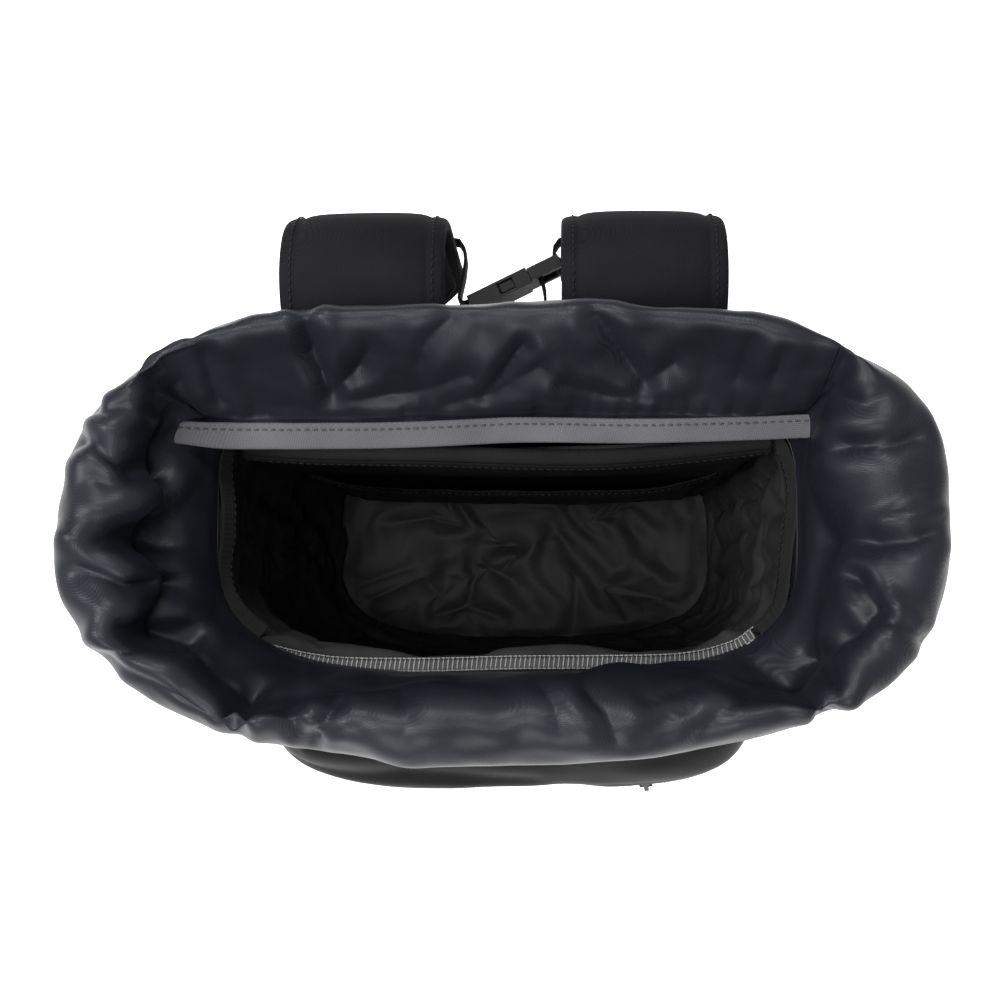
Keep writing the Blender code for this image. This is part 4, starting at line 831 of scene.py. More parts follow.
def piping(name, line, out, up, inset=0.0, smooth=True):
    """A thin round cord sewn on along a line."""
    rings = []
    for a in np.linspace(0, 2 * math.pi, 8, endpoint=False):
        across = out * (math.cos(a) * PIPING_RADIUS - inset)
        rings.append(line + across + np.array(up) * (math.sin(a) * PIPING_RADIUS))
    loft_closed(name, np.stack(rings, axis=1), "dark_tape", smooth=smooth)


def band(name, line, up, width, thickness, slot, replaced=(), edge=0.0):
    """A flat tape on a line: rounded edges, slightly thicker selvedge. up is its outward direction."""
    line = np.asarray(line, float)
    ups = np.broadcast_to(np.asarray(up, float), line.shape)
    ahead = np.gradient(line, axis=0)
    ahead /= np.linalg.norm(ahead, axis=1, keepdims=True)
    side = np.cross(ups, ahead)
    side /= np.linalg.norm(side, axis=1, keepdims=True)
    out = np.cross(ahead, side)
    spread = np.linspace(-1, 1, 9)
    rings = []
    for face in (1, -1):
        for u in spread * face:
            lift = thickness / 2 * (1 - abs(u) ** 8) + (edge if 0.72 < abs(u) < 0.95 else 0.0)
            rings.append(line + side * u * width / 2 + out * lift * face)
    loft_closed(name, np.stack(rings, axis=1), slot, replaced)


def refined(node, material, rounding=0.0003):
    """A finer copy of a CAD strip with softened edges, which stands for it."""
    source = frame["nodes"][node]
    mesh = source.data.copy()
    piece = bpy.data.objects.new(f"soft_{node}", mesh)
    piece.matrix_world = source.matrix_world.copy()
    bpy.context.scene.collection.objects.link(piece)
    mesh.materials.clear()
    mesh.materials.append(material)
    weld = piece.modifiers.new("weld", "WELD")
    weld.merge_threshold = 0.00002
    flat = piece.modifiers.new("flat", "DECIMATE")
    flat.decimate_type = "DISSOLVE"
    flat.angle_limit = math.radians(2)
    round_edges = piece.modifiers.new("round", "BEVEL")
    round_edges.width = rounding
    round_edges.segments = 2
    round_edges.limit_method = "ANGLE"
    round_edges.angle_limit = math.radians(30)
    bake(piece)
    piece.data.set_sharp_from_angle(angle=math.radians(50))
    body = BODY_OF[node]
    if node in FOLLOWING:
        body, moving, start, end = FOLLOWING[node]
        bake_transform(piece)
        body = None
    settle(piece, body, (node,))


def following_webs():
    """Webs that run between two bodies, at a ladder lock or the sternum buckle: both bodies, and where the
    give starts and ends.
    """
    buckle = ("sternum_gear", "sternum_release", (-0.031, 0.129, 0.354), (-0.019, 0.118, 0.362))
    webs = {"sternum_web_left": buckle}
    for side, x in (("left", -0.080), ("right", 0.080)):
        webs[f"lower_web_{side}"] = ("pack", f"ladder_{side}", (x, 0.125, 0.105), (x, 0.125, 0.150))
        webs[f"strap_loop_{side}"] = ("pack", f"ladder_{side}", (x, 0.125, 0.1642), (x, 0.125, 0.1565))
    return webs


FOLLOWING = following_webs()
BODY_OF = {name: body for body, names in frame["record"]["behaviour"]["bodies"].items() for name in names}

# ---------------------------------------------------------------- inside: lining, floor, seams

# depth, width, line in mm; the folds of the two side linings
LINING_CREASES = (
    (6.0, 5.0, ((-131, 45, 190), (-127, 22, 80), (-124, 0, 30), (-124, -20, 40), (-128, -44, 130))),
    (4.0, 4.0, ((-131, 30, 300), (-131, 22, 210), (-130, 26, 120))),
    (4.5, 4.5, ((-131, 10, 330), (-130, 2, 230), (-129, 8, 150), (-128, -6, 90))),
    (4.0, 4.0, ((-131, -16, 340), (-130, -24, 250), (-129, -18, 170), (-128, -30, 100))),
    (3.5, 4.0, ((-131, 0, 290), (-130, -12, 280), (-129, -32, 300))),
    (4.0, 4.0, ((-131, 34, 250), (-131, 14, 260), (-131, -2, 240))),
    (3.5, 4.0, ((-130, 12, 120), (-129, -4, 140), (-129, -20, 200))),
    (4.5, 4.0, ((131, 40, 330), (131, 30, 220), (130, 34, 110), (128, 30, 40))),
    (5.0, 5.0, ((131, 18, 350), (130, 10, 240), (130, 16, 140), (128, 6, 60))),
    (4.5, 4.5, ((131, -4, 340), (130, -12, 230), (129, -4, 130), (127, -12, 50))),
    (4.0, 4.5, ((130, -28, 330), (129, -32, 220), (127, -26, 120))),
    (3.5, 4.0, ((131, 30, 270), (131, 10, 290), (130, -14, 270), (129, -30, 290))),
    (3.5, 4.0, ((131, 26, 160), (130, 8, 190), (129, -14, 170), (128, -30, 190))),
    (3.0, 4.0, ((110, -52, 330), (70, -60, 250), (30, -61, 270))),
    (2.5, 4.0, ((-100, -55, 300), (-60, -60, 340), (-20, -62, 300))),
)


def build_lining():
    angles = even_angles(0, 360, 281)[:-1]
    heights = np.linspace(0.0080, 0.4040, 118)
    grid = wall_grid(angles, heights, -0.0056)
    outwards = outward_normals(grid, closed=True)
    rim = (ease((grid[..., 2] - 0.009) / 0.02) * ease((0.403 - grid[..., 2]) / 0.02))[..., None]
    loose = (seeded_noise(grid, 0.085, 11, 2) * 0.004 + 0.0025) * (np.abs(grid[..., 0]) > 0.10)
    fine = seeded_noise(grid, 0.034, 12, 2) * 0.0016
    behind = ease((0.030 - grid[..., 1]) / 0.02)
    # under the front seam the lining hangs out as a lip
    lip = np.exp(-(((grid[..., 2] - 0.386) / 0.015) ** 2)) * ease((-0.040 - grid[..., 1]) / 0.012)
    lip = lip * ease((0.404 - grid[..., 2]) / 0.012) * (1 + 0.16 * np.sin(grid[..., 0] * 62))
    grid = grid - outwards * (0.0110 * lip)[..., None]
    grid = grid - outwards * rim * ((loose + fine) * (0.25 + 0.75 * behind))[..., None]
    folds = [(-depth, width, line) for depth, width, line in in_metres(LINING_CREASES)]
    grid = press_creases(grid, outwards, folds, (1, 1, 1), rim[..., 0] * 0.8)
    held = np.full(grid.shape[:2], 0.1)
    held[:2] = 1.0
    held[-2:] = 1.0
    held[(grid[..., 1] > 0.040)] = 0.9
    grid = grow_cloth(grid, held, growth=0.035, bending=0.8, frames=14, closed=True)
    keep_inside(grid, wall_grid(angles, heights, -0.0030))
    cloth_piece("lining_walls", grid, "lining_cloth",
                ("lining_left", "lining_right", "lining_front", "lining_back"), closed=True, thickness=0.0004)


FLOOR_CREASES = (
    (2.6, 5.0, ((-117, -17), (-80, -4), (-43, 9), (-5, 12))),
    (2.2, 4.5, ((-114, -30), (-88, -18), (-62, -7))),
    (3.0, 6.0, ((18, 28), (36, 4), (53, -17), (85, -23), (111, -33))),
    (2.2, 5.0, ((-30, 0), (-8, -12), (10, -34))),
    (2.0, 4.5, ((30, 34), (44, 20), (60, 8))),
    (1.8, 4.0, ((72, 22), (88, 6), (100, -6))),
    (1.8, 4.0, ((-60, -36), (-38, -30), (-14, -38))),
    (1.6, 4.0, ((-90, 26), (-64, 30), (-44, 24))),
)


def build_floor():
    """A square grid squeezed into the rounded plan of the floor, with its creases."""
    columns, rows = 104, 56
    x, y = np.meshgrid(np.linspace(-1, 1, columns), np.linspace(-1, 1, rows))
    half, front, back = 0.1250, -0.0510, 0.0640
    edge = oval(np.degrees(np.arctan2(y, x)), half, front, back, *WALL_POWERS)
    reach = np.maximum(np.abs(x), np.abs(y))[..., None]
    middle = np.array([0, (front + back) / 2])
    grid = np.concatenate([middle + (edge - middle) * reach, np.full((rows, columns, 1), 0.0076)], axis=2)
    up = np.zeros_like(grid)
    up[..., 2] = 1
    inner = ease((1 - reach[..., 0]) / 0.12)
    grid = grid + up * ((np.abs(seeded_noise(grid, 0.070, 21, 2)) * 0.0036 + 0.0012) * inner)[..., None]
    grid = press_creases(grid, up, in_metres(FLOOR_CREASES), (1, 1, 0), inner)
    grid[..., 2] = np.maximum(grid[..., 2], 0.0072)
    held = np.full(grid.shape[:2], 0.1)
    held[reach[..., 0] > 0.97] = 1.0
    grid = grow_cloth(grid, held, growth=0.012, bending=1.5, frames=14)
    grid[..., 2] = np.clip(grid[..., 2], 0.0070, 0.016)
    cloth_piece("lining_floor_cloth", grid, "lining_cloth", ("lining_floor",), thickness=0.0004)


OVERLOCK_LINE = ((-104, -48), (-88, -51.6), (-69, -53.8), (-31, -54.0), (6, -53.0), (41, -52.8), (77, -51.6),
                 (98, -46.6), (108, -40))


def neck_line(start, end, count, z, inwards):
    angles = np.linspace(start, end, count)
    return with_height(oval(angles, NECK[0] - inwards, NECK[1] + inwards, NECK[2] - inwards, *NECK[3:]), z)


def build_seam_strips():
    """The bound side seams and the overlocked front seam, which lie just under the neck."""
    for side, middle, way in (("left", 183.0, 1), ("right", -2.0, -1)):
        line = neck_line(middle - 34, middle + 34, 60, 0.3995, 0.0016)
        line[:, 0] += way * (0.0016 + 0.0016 * np.sin(line[:, 1] * 105 + (0.4 if way > 0 else 2.6)))
        line[:, 2] += np.sin(line[:, 1] * 60) * 0.0015
        up = np.stack([np.full(60, 0.75 * way), np.zeros(60), np.full(60, 0.66)], axis=1)
        band(f"seam_tape_{side}", line, up, 0.0080, 0.0012, "dark_tape",
             (f"seam_binding_{side}",), 0.0002)
        edge = line + np.array([0.0022 * way, 0, -0.0016])
        stitches(f"seam_tape_thread_{side}", edge + up * 0.0007, up)
    line = with_height(spline(OVERLOCK_LINE, 160) / 1000, 0.4010)
    raised_ends = 0.0016 * ease((np.abs(line[:, 0] - 0.008) - 0.030) / 0.040)
    line[:, 2] += 0.0006 * np.sin(line[:, 0] * 130) + raised_ends
    up = (0, 0.35, 0.94)
    band("front_seam_edge", line, up, 0.0058, 0.0010, "lining_cloth")
    over = line + np.array(up) * 0.0008
    stitches("front_overlock", over, up, THREAD, 0.0021, 0.0052, 0.00032, across=True, lean=0.12)
    for name, shift in (("outer", -0.0027), ("inner", 0.0027)):
        run = over + np.array([0, shift, -0.35 * shift])
        stitches(f"front_overlock_{name}", run, up, THREAD, 0.0021, 0.0020, 0.00030)


SLEEVE_HALF, SLEEVE_LOW, SLEEVE_TOP, SLEEVE_Y = 0.1172, 0.0085, 0.4015, 0.0450


def sleeve_sag(x, z, half=SLEEVE_HALF):
    """The divider leans forward in its upper part, most at its middle."""
    return -0.0075 * ease((z - 0.16) / 0.24) * (1 - 0.75 * (x / half) ** 2)


def build_sleeve():
    """The padded divider: crowned, with a bound upper edge that sags forward, and its slip pocket."""
    turns = np.linspace(0, 2 * math.pi, 56, endpoint=False)
    rings = []
    for z in np.linspace(SLEEVE_LOW, SLEEVE_TOP, 90):
        v = (z - SLEEVE_LOW) / (SLEEVE_TOP - SLEEVE_LOW)
        half = SLEEVE_HALF * (1 - 0.004 * math.sin(v * 9))
        thick = 0.0029 * min(1.0, (0.25 + 6 * min(v, 1 - v)))
        x = signed_power(np.cos(turns), 0.28) * half
        wave = 0.0012 * np.sin(x * 41 + z * 23) * math.sin(z * 31 + 1.1) + 0.0006 * np.sin(x * 97 - z * 50)
        face = SLEEVE_Y + sleeve_sag(x, z, half) + wave * min(1, 4 * v)
        plan = np.stack([x, face + signed_power(np.sin(turns), 0.45) * thick], axis=1)
        rings.append(with_height(plan, z))
    # the pad wears the darker copy of the lining cloth, which is painted shade
    sleeve = loft_closed("sleeve_pad", rings, "lining_cloth", ("laptop_sleeve",), material=SHADED_LINING)
    x = np.linspace(-0.117, 0.117, 90)
    y = SLEEVE_Y + sleeve_sag(x, 0.4012) + 0.0012 * np.sin(x * 41 + 9.2) * math.sin(13.5)
    top = with_height(np.stack([x, y], axis=1), 0.4012)
    band("sleeve_binding", top, (0, -0.25, 1), 0.0078, 0.0030, "dark_tape")
    band("sleeve_binding_face", top - (0, 0.0042, 0.0012), (0, -1, 0.12), 0.0085, 0.0010, "dark_tape")
    stitches("sleeve_thread", top - (0, 0.0049, 0.0030), (0, -1, 0.1))
    columns, rows = 92, 80
    u, v = np.meshgrid(np.linspace(-1, 1, columns), np.linspace(0, 1, rows))
    z = 0.0302 + v * (0.2835 - 0.0302)
    reach = 0.0090 * np.interp(v, (0, 0.12, 0.4, 0.7, 1), (0.05, 0.45, 0.8, 0.95, 0.92))
    x = u * 0.1050
    y = 0.0412 + sleeve_sag(x, z) - reach * (1 - np.abs(u) ** 5) * 0.9
    grid = np.stack([x, y, z], axis=-1)
    fold = seeded_noise(grid, 0.05, 31, 3) * 0.0016 * (1 - np.abs(u) ** 6) * ease(v / 0.1)
    grid[..., 1] -= np.maximum(fold, -0.0010)
    cloth_piece("slip_pocket_cloth", grid, "lining_cloth", ("slip_pocket",), thickness=0.0006)
    hem = grid[-1]
    band("slip_pocket_hem", hem + (0, -0.0005, 0.0002), (0, -1, 0), 0.0090, 0.0012, "dark_tape")
    stitches("slip_pocket_thread", hem + (0, -0.0013, -0.0030), (0, -1, 0))


# half of the tape's section: share of its half width, share of its thickness
TAPE_PROFILE = (
    (-1.0, 0.0), (-0.97, 0.55), (-0.85, 0.8), (-0.6, 0.85), (-0.2, 0.9), (0.3, 1.0), (0.7, 1.0),
    (0.92, 0.8), (1.0, 0.0),
)
TAPE_ENDS = 0.1425


def build_tape():
    """The grey tape that binds the free edge of the facing, turned round it, with its row of stitches."""
    x = np.linspace(-TAPE_ENDS, TAPE_ENDS, 120)
    y = np.interp(x, (-TAPE_ENDS, -0.125, -0.09, 0, TAPE_ENDS), (0.0462, 0.0447, 0.0440, 0.0462, 0.0470))
    z = 0.4278 + 0.0008 * np.cos(x * 34) + 0.0004 * np.sin(x * 120)
    # both ends climb the corners of the roll
    z = z + 0.0062 * ease((-x - 0.110) / 0.026) + 0.0100 * ease((x - 0.106) / 0.032)
    line = np.stack([x, y + 0.0004 * np.sin(x * 61 + 1), z], axis=1)
    width = np.interp(x, (-TAPE_ENDS, -0.12, 0, TAPE_ENDS), (0.0098, 0.0122, 0.0116, 0.0104))
    up = np.array([0, -0.38, 0.925])
    side = np.array([0, -0.925, -0.38])
    profile = TAPE_PROFILE + tuple((u, -t) for u, t in TAPE_PROFILE[-2:0:-1])
    rings = [line + side * (u * width / 2)[:, None] + up * t * 0.0011 for u, t in profile]
    loft_closed("tape_strip", np.stack(rings, axis=1), "grey_tape", ("flap_binding",), body="flap")
    seam = line - side * (width * 0.26)[:, None] + up * 0.00112
    stitches("tape_thread", seam, up, TAPE_THREAD, 0.0036, 0.0022, 0.00036, body="flap")


build_lining()
build_floor()
build_seam_strips()
build_sleeve()
build_tape()

# ---------------------------------------------------------------- outside: walls, pockets, base


WALL_SEAMS = (("left", 232), ("right", 308))  # the front panel's two side seams, in degrees


def build_shell():
    """The coated outer walls: one cloth round three sides, a little slack between its seams."""
    angles = even_angles(118, 422, 300)
    heights = np.linspace(0.0066, 0.4046, 116)
    grid = wall_grid(angles, heights, -0.0004)
    outwards = outward_normals(grid)
    rim = ease((grid[..., 2] - 0.007) / 0.02) * ease((0.404 - grid[..., 2]) / 0.015)
    rim = rim * ease((0.066 - grid[..., 1]) / 0.01)
    slack = seeded_noise(grid, 0.075, 41, 2) * 0.0030 - 0.0018
    fine = seeded_noise(grid * (1, 1, 0.6), 0.030, 42, 3) * 0.0011
    grid = grid + outwards * (np.minimum(slack + fine, 0.0006) * rim)[..., None]
    for _, seam in WALL_SEAMS:
        near = np.exp(-(((angles - seam) / 1.0) ** 2))
        grid = grid - outwards * (near[None, :] * 0.0012 * rim)[..., None]
    held = np.full(grid.shape[:2], 0.3)
    held[:2] = held[-2:] = 1.0
    held[:, :3] = held[:, -3:] = 1.0
    grid = grow_cloth(grid, held, growth=0.035, bending=0.8, frames=12)
    keep_inside(grid, wall_grid(angles, heights, 0.0004))
    cloth_piece("shell_walls", grid, "coated_cloth",
                ("front_panel", "side_panel_left", "side_panel_right"), thickness=0.0010)
    for name, seam in WALL_SEAMS:
        line = wall_grid(np.array([seam]), np.linspace(0.012, 0.396, 80), 0.0003)[:, 0]
        up = np.array([math.cos(math.radians(seam)), math.sin(math.radians(seam)), 0])
        for step, shift in (("a", 0.0030), ("b", -0.0030)):
            side = np.cross(up, (0, 0, 1)) * shift
            stitches(f"shell_thread_{name}_{step}", line + side, up)


POCKET_DEPTH = 0.045


def pocket_grid(shares, heights):
    """The pocket's face for shares of its half width: it stands off the wall, except at its edges."""
    rows = []
    for z in heights:
        reach = POCKET_DEPTH
        if z < 0.034:
            reach *= float(ease(np.float64((z - 0.004) / 0.030)))
        reach *= 1 - float(ease(np.float64((z - 0.327) / 0.061)))
        push = (1 - np.abs(shares) ** 8) * reach
        angles = 270.0 + 55.0 * shares
        foot = wall_ring(angles, z, 0.0032)
        full = wall_ring(angles, max(z, BODY_FULL_Z), 0.0032)
        row = foot + (full - foot) * np.minimum(1.0, push / POCKET_DEPTH)[:, None]
        row[:, 1] -= push
        row[:, 2] = z
        rows.append(row)
    return np.stack(rows)


ZIP_X, ZIP_LOW, ZIP_HIGH = 0.066, 0.100, 0.315
# depth, width, line in mm (x, z) on the pocket's face
POCKET_CREASES = (
    (1.8, 3.0, ((-96, 352), (-40, 364), (30, 358), (92, 366))),
    (1.5, 2.6, ((-80, 372), (-20, 376), (60, 371), (100, 376))),
    (1.6, 3.5, ((-104, 330), (-50, 344), (10, 338))),
    (1.2, 4.0, ((-100, 280), (-60, 250), (-30, 262))),
    (1.2, 4.0, ((-110, 190), (-70, 200), (-40, 180))),
    (1.4, 4.0, ((-100, 70), (-60, 90), (-10, 76))),
    (1.2, 4.0, ((20, 60), (60, 74), (100, 60))),
    (1.0, 4.0, ((0, 300), (30, 280), (44, 250))),
    (1.0, 4.0, ((84, 320), (96, 280), (104, 240))),
)


def pocket_columns():
    """Where the columns lie across the pocket, and the two of them that edge the zip's slot."""
    table = np.linspace(0, 1, 4001)
    at = pocket_grid(table, [0.2])[0][:, 0]
    edges = [float(np.interp(ZIP_X + side * 0.0045, at, table)) for side in (-1, 1)]
    shares = np.unique(np.concatenate([np.sin(np.linspace(-math.pi / 2, math.pi / 2, 150)), edges]))
    shares = np.array([s for s in shares if s in edges or min(abs(s - e) for e in edges) > 0.004])
    thread_shares = [float(np.interp(ZIP_X + shift, at, table)) for shift in (-0.0085, 0.0085)]
    return shares, edges, thread_shares


def build_front_pocket():
    shares, edges, thread_shares = pocket_columns()
    heights = np.unique(np.concatenate([
        np.linspace(0.0088, 0.040, 14), np.linspace(0.040, ZIP_LOW, 14),
        np.linspace(ZIP_LOW, ZIP_HIGH, 50), np.linspace(ZIP_HIGH, 0.3878, 28)]))
    grid = pocket_grid(shares, heights)
    normal = normals_of(grid)
    outwards = np.sign((normal * (0, -1, 0.3)).sum(axis=2, keepdims=True)) * normal
    level = heights[:, None]
    side = 1 - np.abs(shares) ** 14
    rim = side[None, :] * ease((level - 0.010) / 0.02) * ease((0.387 - level) / 0.012)
    zip_gap = np.abs(grid[..., 0] - ZIP_X)
    beside_zip = (level > ZIP_LOW - 0.012) & (level < ZIP_HIGH + 0.012)
    calm = np.where(beside_zip, ease((zip_gap - 0.016) / 0.02), 1.0)
    slack = seeded_noise(grid * (0.6, 1, 1), 0.060, 51, 3) * 0.0032 - 0.0012
    moved = grid + outwards * (np.minimum(slack, 0.0008) * rim * calm)[..., None]
    for depth, width, line in POCKET_CREASES:
        gap = distance_to(grid, [(x / 1000, 0, z / 1000) for x, z in line], (1, 0, 1)) * 1000
        ridge = 0.4 * np.exp(-(((gap - 2.4 * width) / (1.2 * width)) ** 2))
        valley = np.exp(-((gap / width) ** 2))
        moved = moved + outwards * ((ridge - valley) * depth / 1000 * rim * calm)[..., None]
    at_zip = (level > ZIP_LOW - 0.002) & (level < ZIP_HIGH + 0.002)
    welt = np.exp(-(((zip_gap - 0.0062) / 0.0016) ** 2)) * at_zip
    moved = moved + outwards * (welt * 0.0005)[..., None]
    open_rows = (heights[:-1] >= ZIP_LOW - 1e-6) & (heights[1:] <= ZIP_HIGH + 1e-6)
    open_columns = (shares[:-1] >= edges[0] - 1e-9) & (shares[1:] <= edges[1] + 1e-9)
    index = np.arange(moved.shape[0] * moved.shape[1]).reshape(moved.shape[:2])
    quads = quads_of(index)[~(open_rows[:, None] & open_columns[None, :]).reshape(-1)]
    piece = add_piece("pocket_cloth", moved.reshape(-1, 3).tolist(), quads.tolist(), COATED)
    thicken(piece, 0.0012, offset=-1.0)
    settle(piece, "pack", ("front_pocket",))
    for name, share in zip("ab", thread_shares):
        line = pocket_grid(np.array([share]), np.linspace(ZIP_LOW - 0.004, ZIP_HIGH + 0.004, 60))[:, 0]
        stitches(f"zip_thread_{name}", line + (0, -0.0006, 0), (0.1, -1, 0))
    for name, way in (("left", -1), ("right", 1)):
        line = pocket_grid(np.array([way * 0.985]), np.linspace(0.014, 0.384, 90))[:, 0]
        band(f"pocket_piping_{name}", line + (way * 0.0008, -0.0012, 0), (way * 0.7, -0.7, 0), 0.0050, 0.0022,
             "dark_tape")


BOTTLE_LOW, BOTTLE_RIM, BOTTLE_HEM = 0.0098, 0.1798, 0.1852
BOTTLE_DEPTH = 0.018


def build_side_pockets():
    for side, middle, sign in (("left", 180.0, -1), ("right", 0.0, 1)):
        shares = np.linspace(-1, 1, 132)
        angles = middle + sign * (shares * 33.0 + 2.0)

        def row(z):
            foot = wall_ring(angles, z, 0.0018)
            lift = (0.1 + 0.9 * float(ease(np.float64(z / 0.080)))) * (1 - np.abs(shares) ** 4)
            foot[:, 0] += sign * BOTTLE_DEPTH * lift
            return foot

        heights = np.linspace(BOTTLE_LOW, BOTTLE_RIM, 64)
        grid = np.stack([row(z) for z in heights])
        gathers = np.sin(shares * 78 + 0.8 * np.sin(shares * 9)) * (1 - np.abs(shares) ** 8)
        fade = np.exp(-((heights - BOTTLE_RIM) / 0.030) ** 2)
        fade = fade + 0.7 * np.exp(-((heights - BOTTLE_LOW) / 0.014) ** 2)
        soft = seeded_noise(grid, 0.045, 61 if sign > 0 else 62, 3) * 0.0018
        inside = (1 - np.abs(shares) ** 10)[None, :]
        drawn = gathers[None, :] * fade[:, None] * 0.0008
        grid[..., 0] += sign * (drawn + np.minimum(soft, 0.0004) - 0.0006) * inside
        cloth_piece(f"bottle_pocket_{side}", grid, "stretch_cloth", (f"side_pocket_{side}",),
                    thickness=0.0010)
        hem = row(BOTTLE_HEM)
        hem[:, 0] += sign * (gathers * 0.0005 - 0.0006) * (1 - np.abs(shares) ** 8)
        out = np.stack([np.cos(np.radians(angles)), np.sin(np.radians(angles)) * 0.4, np.zeros(132)], axis=1)
        band(f"bottle_pocket_hem_{side}", hem, out, 0.0096, 0.0019, "webbing",
             (f"side_pocket_hem_{side}",), 0.0002)
        stitches(f"bottle_thread_{side}", hem + out * 0.0012 - (0, 0, 0.0026), out)


# height and inset of the base board's rounded edge
BASE_PROFILE = (
    (0.0003, 0.0035), (0.0010, 0.0012), (0.0024, 0.0002), (0.0040, 0.0002), (0.0052, 0.0012),
    (0.0058, 0.0030),
)


def build_base():
    angles = even_angles(0, 360, 181)
    rings = [wall_ring(angles[:-1], 0.0, -inset) + (0, 0, z) for z, inset in BASE_PROFILE]
    loft_closed("base_cloth", rings, "coated_cloth", ("base_panel",))
    line = wall_ring(angles, 0.0, 0.0002) + (0, 0, 0.0062)
    out = line * (1, 1, 0) / np.linalg.norm(line[:, :2], axis=1, keepdims=True)
    piping("base_piping", line, out, (0, 0, 1))


PAD_DEPTH = 0.0072


def pillow(name, x_middle, half_x, low, high, replaced, quilt_axis, levels, channel_depth, channel_width):
    """A foam pad on the back: crowned face with sewn channels, sides that pull in, flat on the panel."""
    z_middle, half_z = (low + high) / 2, (high - low) / 2
    columns, rows = 64, int(max(40, 64 * half_z / half_x))
    u, v = np.meshgrid(np.linspace(-1, 1, columns), np.linspace(-1, 1, rows))
    x = x_middle + half_x * (1 - 0.05 * np.abs(v) ** 6 - 0.012 * (1 - v**2)) * u
    z = z_middle + half_z * (1 - 0.03 * np.abs(u) ** 6) * v
    crown = np.clip((1 - np.abs(u) ** 5) * (1 - np.abs(v) ** 10), 0, 1) ** 0.6
    across = (x, z)[quilt_axis]
    channels = sum(channel_depth * np.exp(-(((across - level) / channel_width) ** 2)) for level in levels)
    puff = (0.30 + 0.70 * crown) * (1 - np.clip(channels, 0, 0.7))
    puff = puff * (1 + 0.03 * seeded_noise(np.stack([x, np.zeros_like(x), z], axis=-1), 0.03, 71, 2))
    y = PAD_FACE_Y + 0.0003 + PAD_DEPTH * np.clip(puff, 0.12, 1.0)
    front = np.stack([x, y, z], axis=-1)
    vertices = front.reshape(-1, 3).tolist()
    index = np.arange(rows * columns).reshape(rows, columns)
    faces = quads_of(index).tolist()
    around = np.concatenate([index[0], index[1:-1, -1], index[-1, ::-1], index[-2:0:-1, 0]]).tolist()
    rim = front.reshape(-1, 3)[around]
    back = rim.copy()
    back[:, 1] = PAD_FACE_Y + 0.0002
    start = len(vertices)
    vertices += back.tolist()
    vertices.append((x_middle, PAD_FACE_Y + 0.0002, z_middle))
    pairs = [(k, (k + 1) % len(around)) for k in range(len(around))]
    faces += [(around[after], around[k], start + k, start + after) for k, after in pairs]
    faces += [(start + after, start + k, len(vertices) - 1) for k, after in pairs]
    piece = settle(add_piece(name, vertices, faces, MESH), "pack", replaced)
    line = np.concatenate([rim, rim[:1]])
    line[:, 1] = PAD_FACE_Y + 0.0018
    out = line - np.array([x_middle, 0, z_middle])
    out[:, 1] = 0
    out /= np.linalg.norm(out, axis=1, keepdims=True)
    piping(f"{name}_piping", line, out, (0, 1, 0), inset=0.0009, smooth=False)


def build_back():
    turns = np.linspace(0, 2 * math.pi, 72, endpoint=False)
    low, high = 0.0065, 0.4186
    rings = []
    for z in np.linspace(low, high, 96):
        v = (z - low) / (high - low)
        squeeze = min(1.0, 0.30 + 14 * min(v, 1 - v))
        x = signed_power(np.cos(turns), 0.22) * (0.1120 - 0.0015 * (1 - squeeze))
        wave = 0.00025 * np.sin(x * 70 + z * 33) * (np.sin(turns) < 0)
        plan = np.stack([x, 0.07195 + signed_power(np.sin(turns), 0.35) * 0.0046 * squeeze + wave], axis=1)
        rings.append(with_height(plan, z))
    panel = loft_closed("back_cloth", rings, "strap_cloth", ("back_panel",))
    for side, x_middle in (("left", -0.058), ("right", 0.058)):
        pillow(f"back_rib_{side}", x_middle, 0.0388, 0.1506, 0.3944, (f"back_pad_{side}",),
               1, np.arange(0.190, 0.390, 0.041), 0.55, 0.0032)
    pillow("lumbar_cushion", 0.0, 0.0885, 0.0405, 0.1375, ("lumbar_pad",),
           0, (-0.044, 0.0, 0.044), 0.5, 0.0030)


# ---------------------------------------------------------------- shoulder straps and webbing

STRAP_LINE = (
    (0.0885, 0.408), (0.090, 0.424), (0.098, 0.437), (0.112, 0.442), (0.126, 0.437), (0.135, 0.424),
    (0.140, 0.402), (0.140, 0.360), (0.140, 0.320), (0.140, 0.280), (0.137, 0.235), (0.132, 0.195),
    (0.126, 0.165),
)
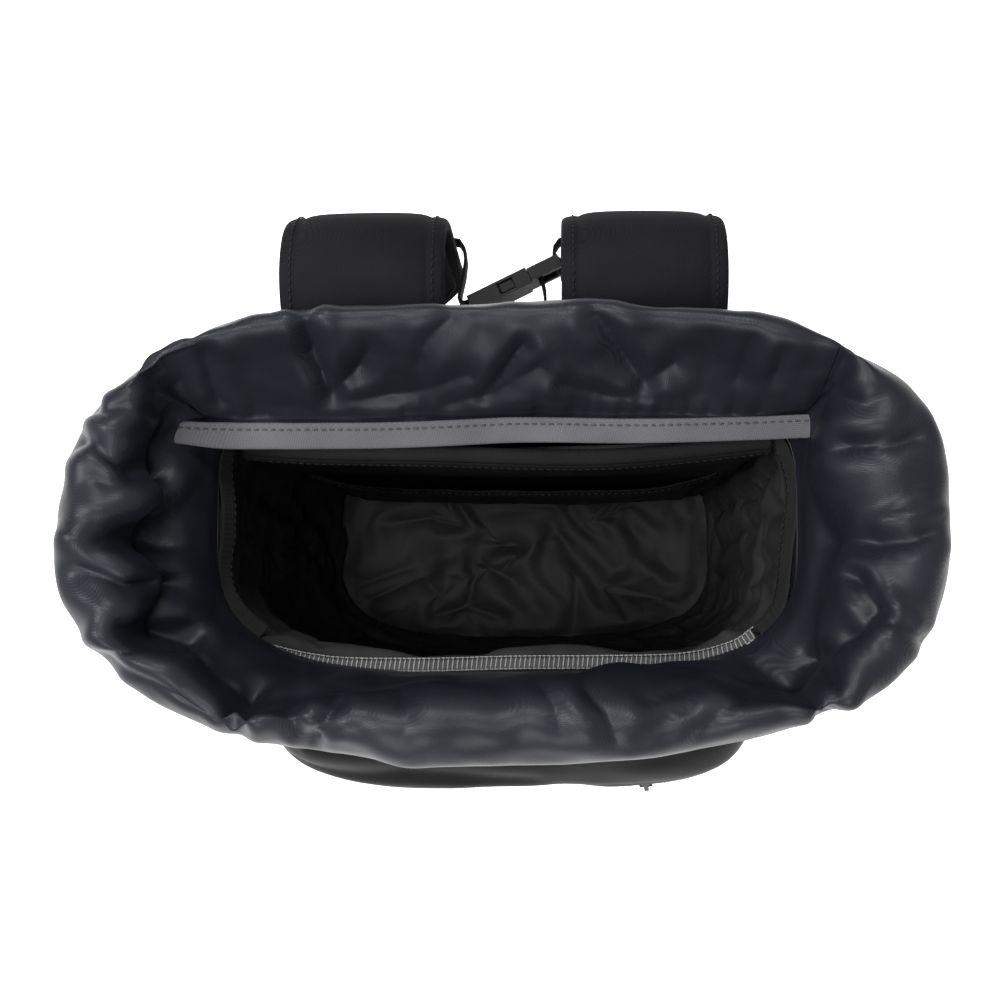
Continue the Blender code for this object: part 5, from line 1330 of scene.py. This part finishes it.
# half of the strap's section: share of its half width, share of its half thickness
STRAP_PROFILE = (
    (-1.000, 0.00), (-0.995, 0.30), (-0.970, 0.50), (-0.900, 0.62), (-0.815, 0.66), (-0.790, 0.56),
    (-0.740, 0.76), (-0.620, 0.90), (-0.400, 0.97), (-0.150, 1.00), (0.150, 1.00), (0.400, 0.97),
    (0.620, 0.90), (0.740, 0.76), (0.790, 0.56), (0.815, 0.66), (0.900, 0.62), (0.970, 0.50),
    (0.995, 0.30), (1.000, 0.00),
)
STRAP_HALF_THICK = 0.0059


def build_straps():
    line = spline(STRAP_LINE, 150)
    ahead = np.gradient(line, axis=0)
    ahead /= np.linalg.norm(ahead, axis=1, keepdims=True)
    out = np.stack([-ahead[:, 1], ahead[:, 0]], axis=1)
    run = np.linspace(0, 1, 150)
    share = ease((0.290 - line[:, 1]) / (0.290 - 0.165)) * (line[:, 0] > 0.12)
    width = 0.070 - 0.028 * share
    middle = 0.0595 + (0.080 - 0.0595) * share
    ends = np.minimum(1, 0.45 + 14 * np.minimum(run, 1 - run))

    def path(sign, u, lift):
        """The strap's line at u across its width, lifted off its middle."""
        x = sign * (middle + u * width / 2)
        return np.stack([x, line[:, 0] + out[:, 0] * lift, line[:, 1] + out[:, 1] * lift], axis=1)

    for side, sign in (("left", -1), ("right", 1)):
        rings = []
        for u, t in list(STRAP_PROFILE) + [(u, -t) for u, t in STRAP_PROFILE[-2:0:-1]]:
            ripple = 1 + 0.012 * np.sin(run * 37 + u * 2) + 0.010 * np.sin(run * 71 - u * 3)
            inner = 0.90 if t < 0 else 1.0
            rings.append(path(sign, u, t * STRAP_HALF_THICK * ends * ripple * inner))
        strap = loft_closed(f"strap_{side}", np.stack(rings, axis=1), "strap_cloth",
                            (f"shoulder_strap_{side}",))
        for name, u in (("outer", 0.855), ("inner", -0.855)):
            for face, way, inner in (("a", 1, 1.0), ("b", -1, 0.9)):
                seam = path(sign, u, way * 0.66 * STRAP_HALF_THICK * ends * inner)
                ups = np.concatenate([np.zeros((150, 1)), out * way], axis=1)
                seam = seam + ups * 0.0001
                stitches(f"strap_thread_{side}_{name}_{face}", seam[4:-4], ups[4:-4])


build_shell()
build_front_pocket()
build_side_pockets()
build_base()
build_back()
build_straps()
for node_name in (*both_sides("sternum_web", "lower_web", "strap_loop"), "haul_loop", "haul_strip",
                  *both_sides("closure_tab", "sternum_rail", "strap_anchor"), "zip_tape"):
    refined(node_name, WEBBING)
for node_name in both_sides("base_tab"):
    refined(node_name, COATED, rounding=0.0008)
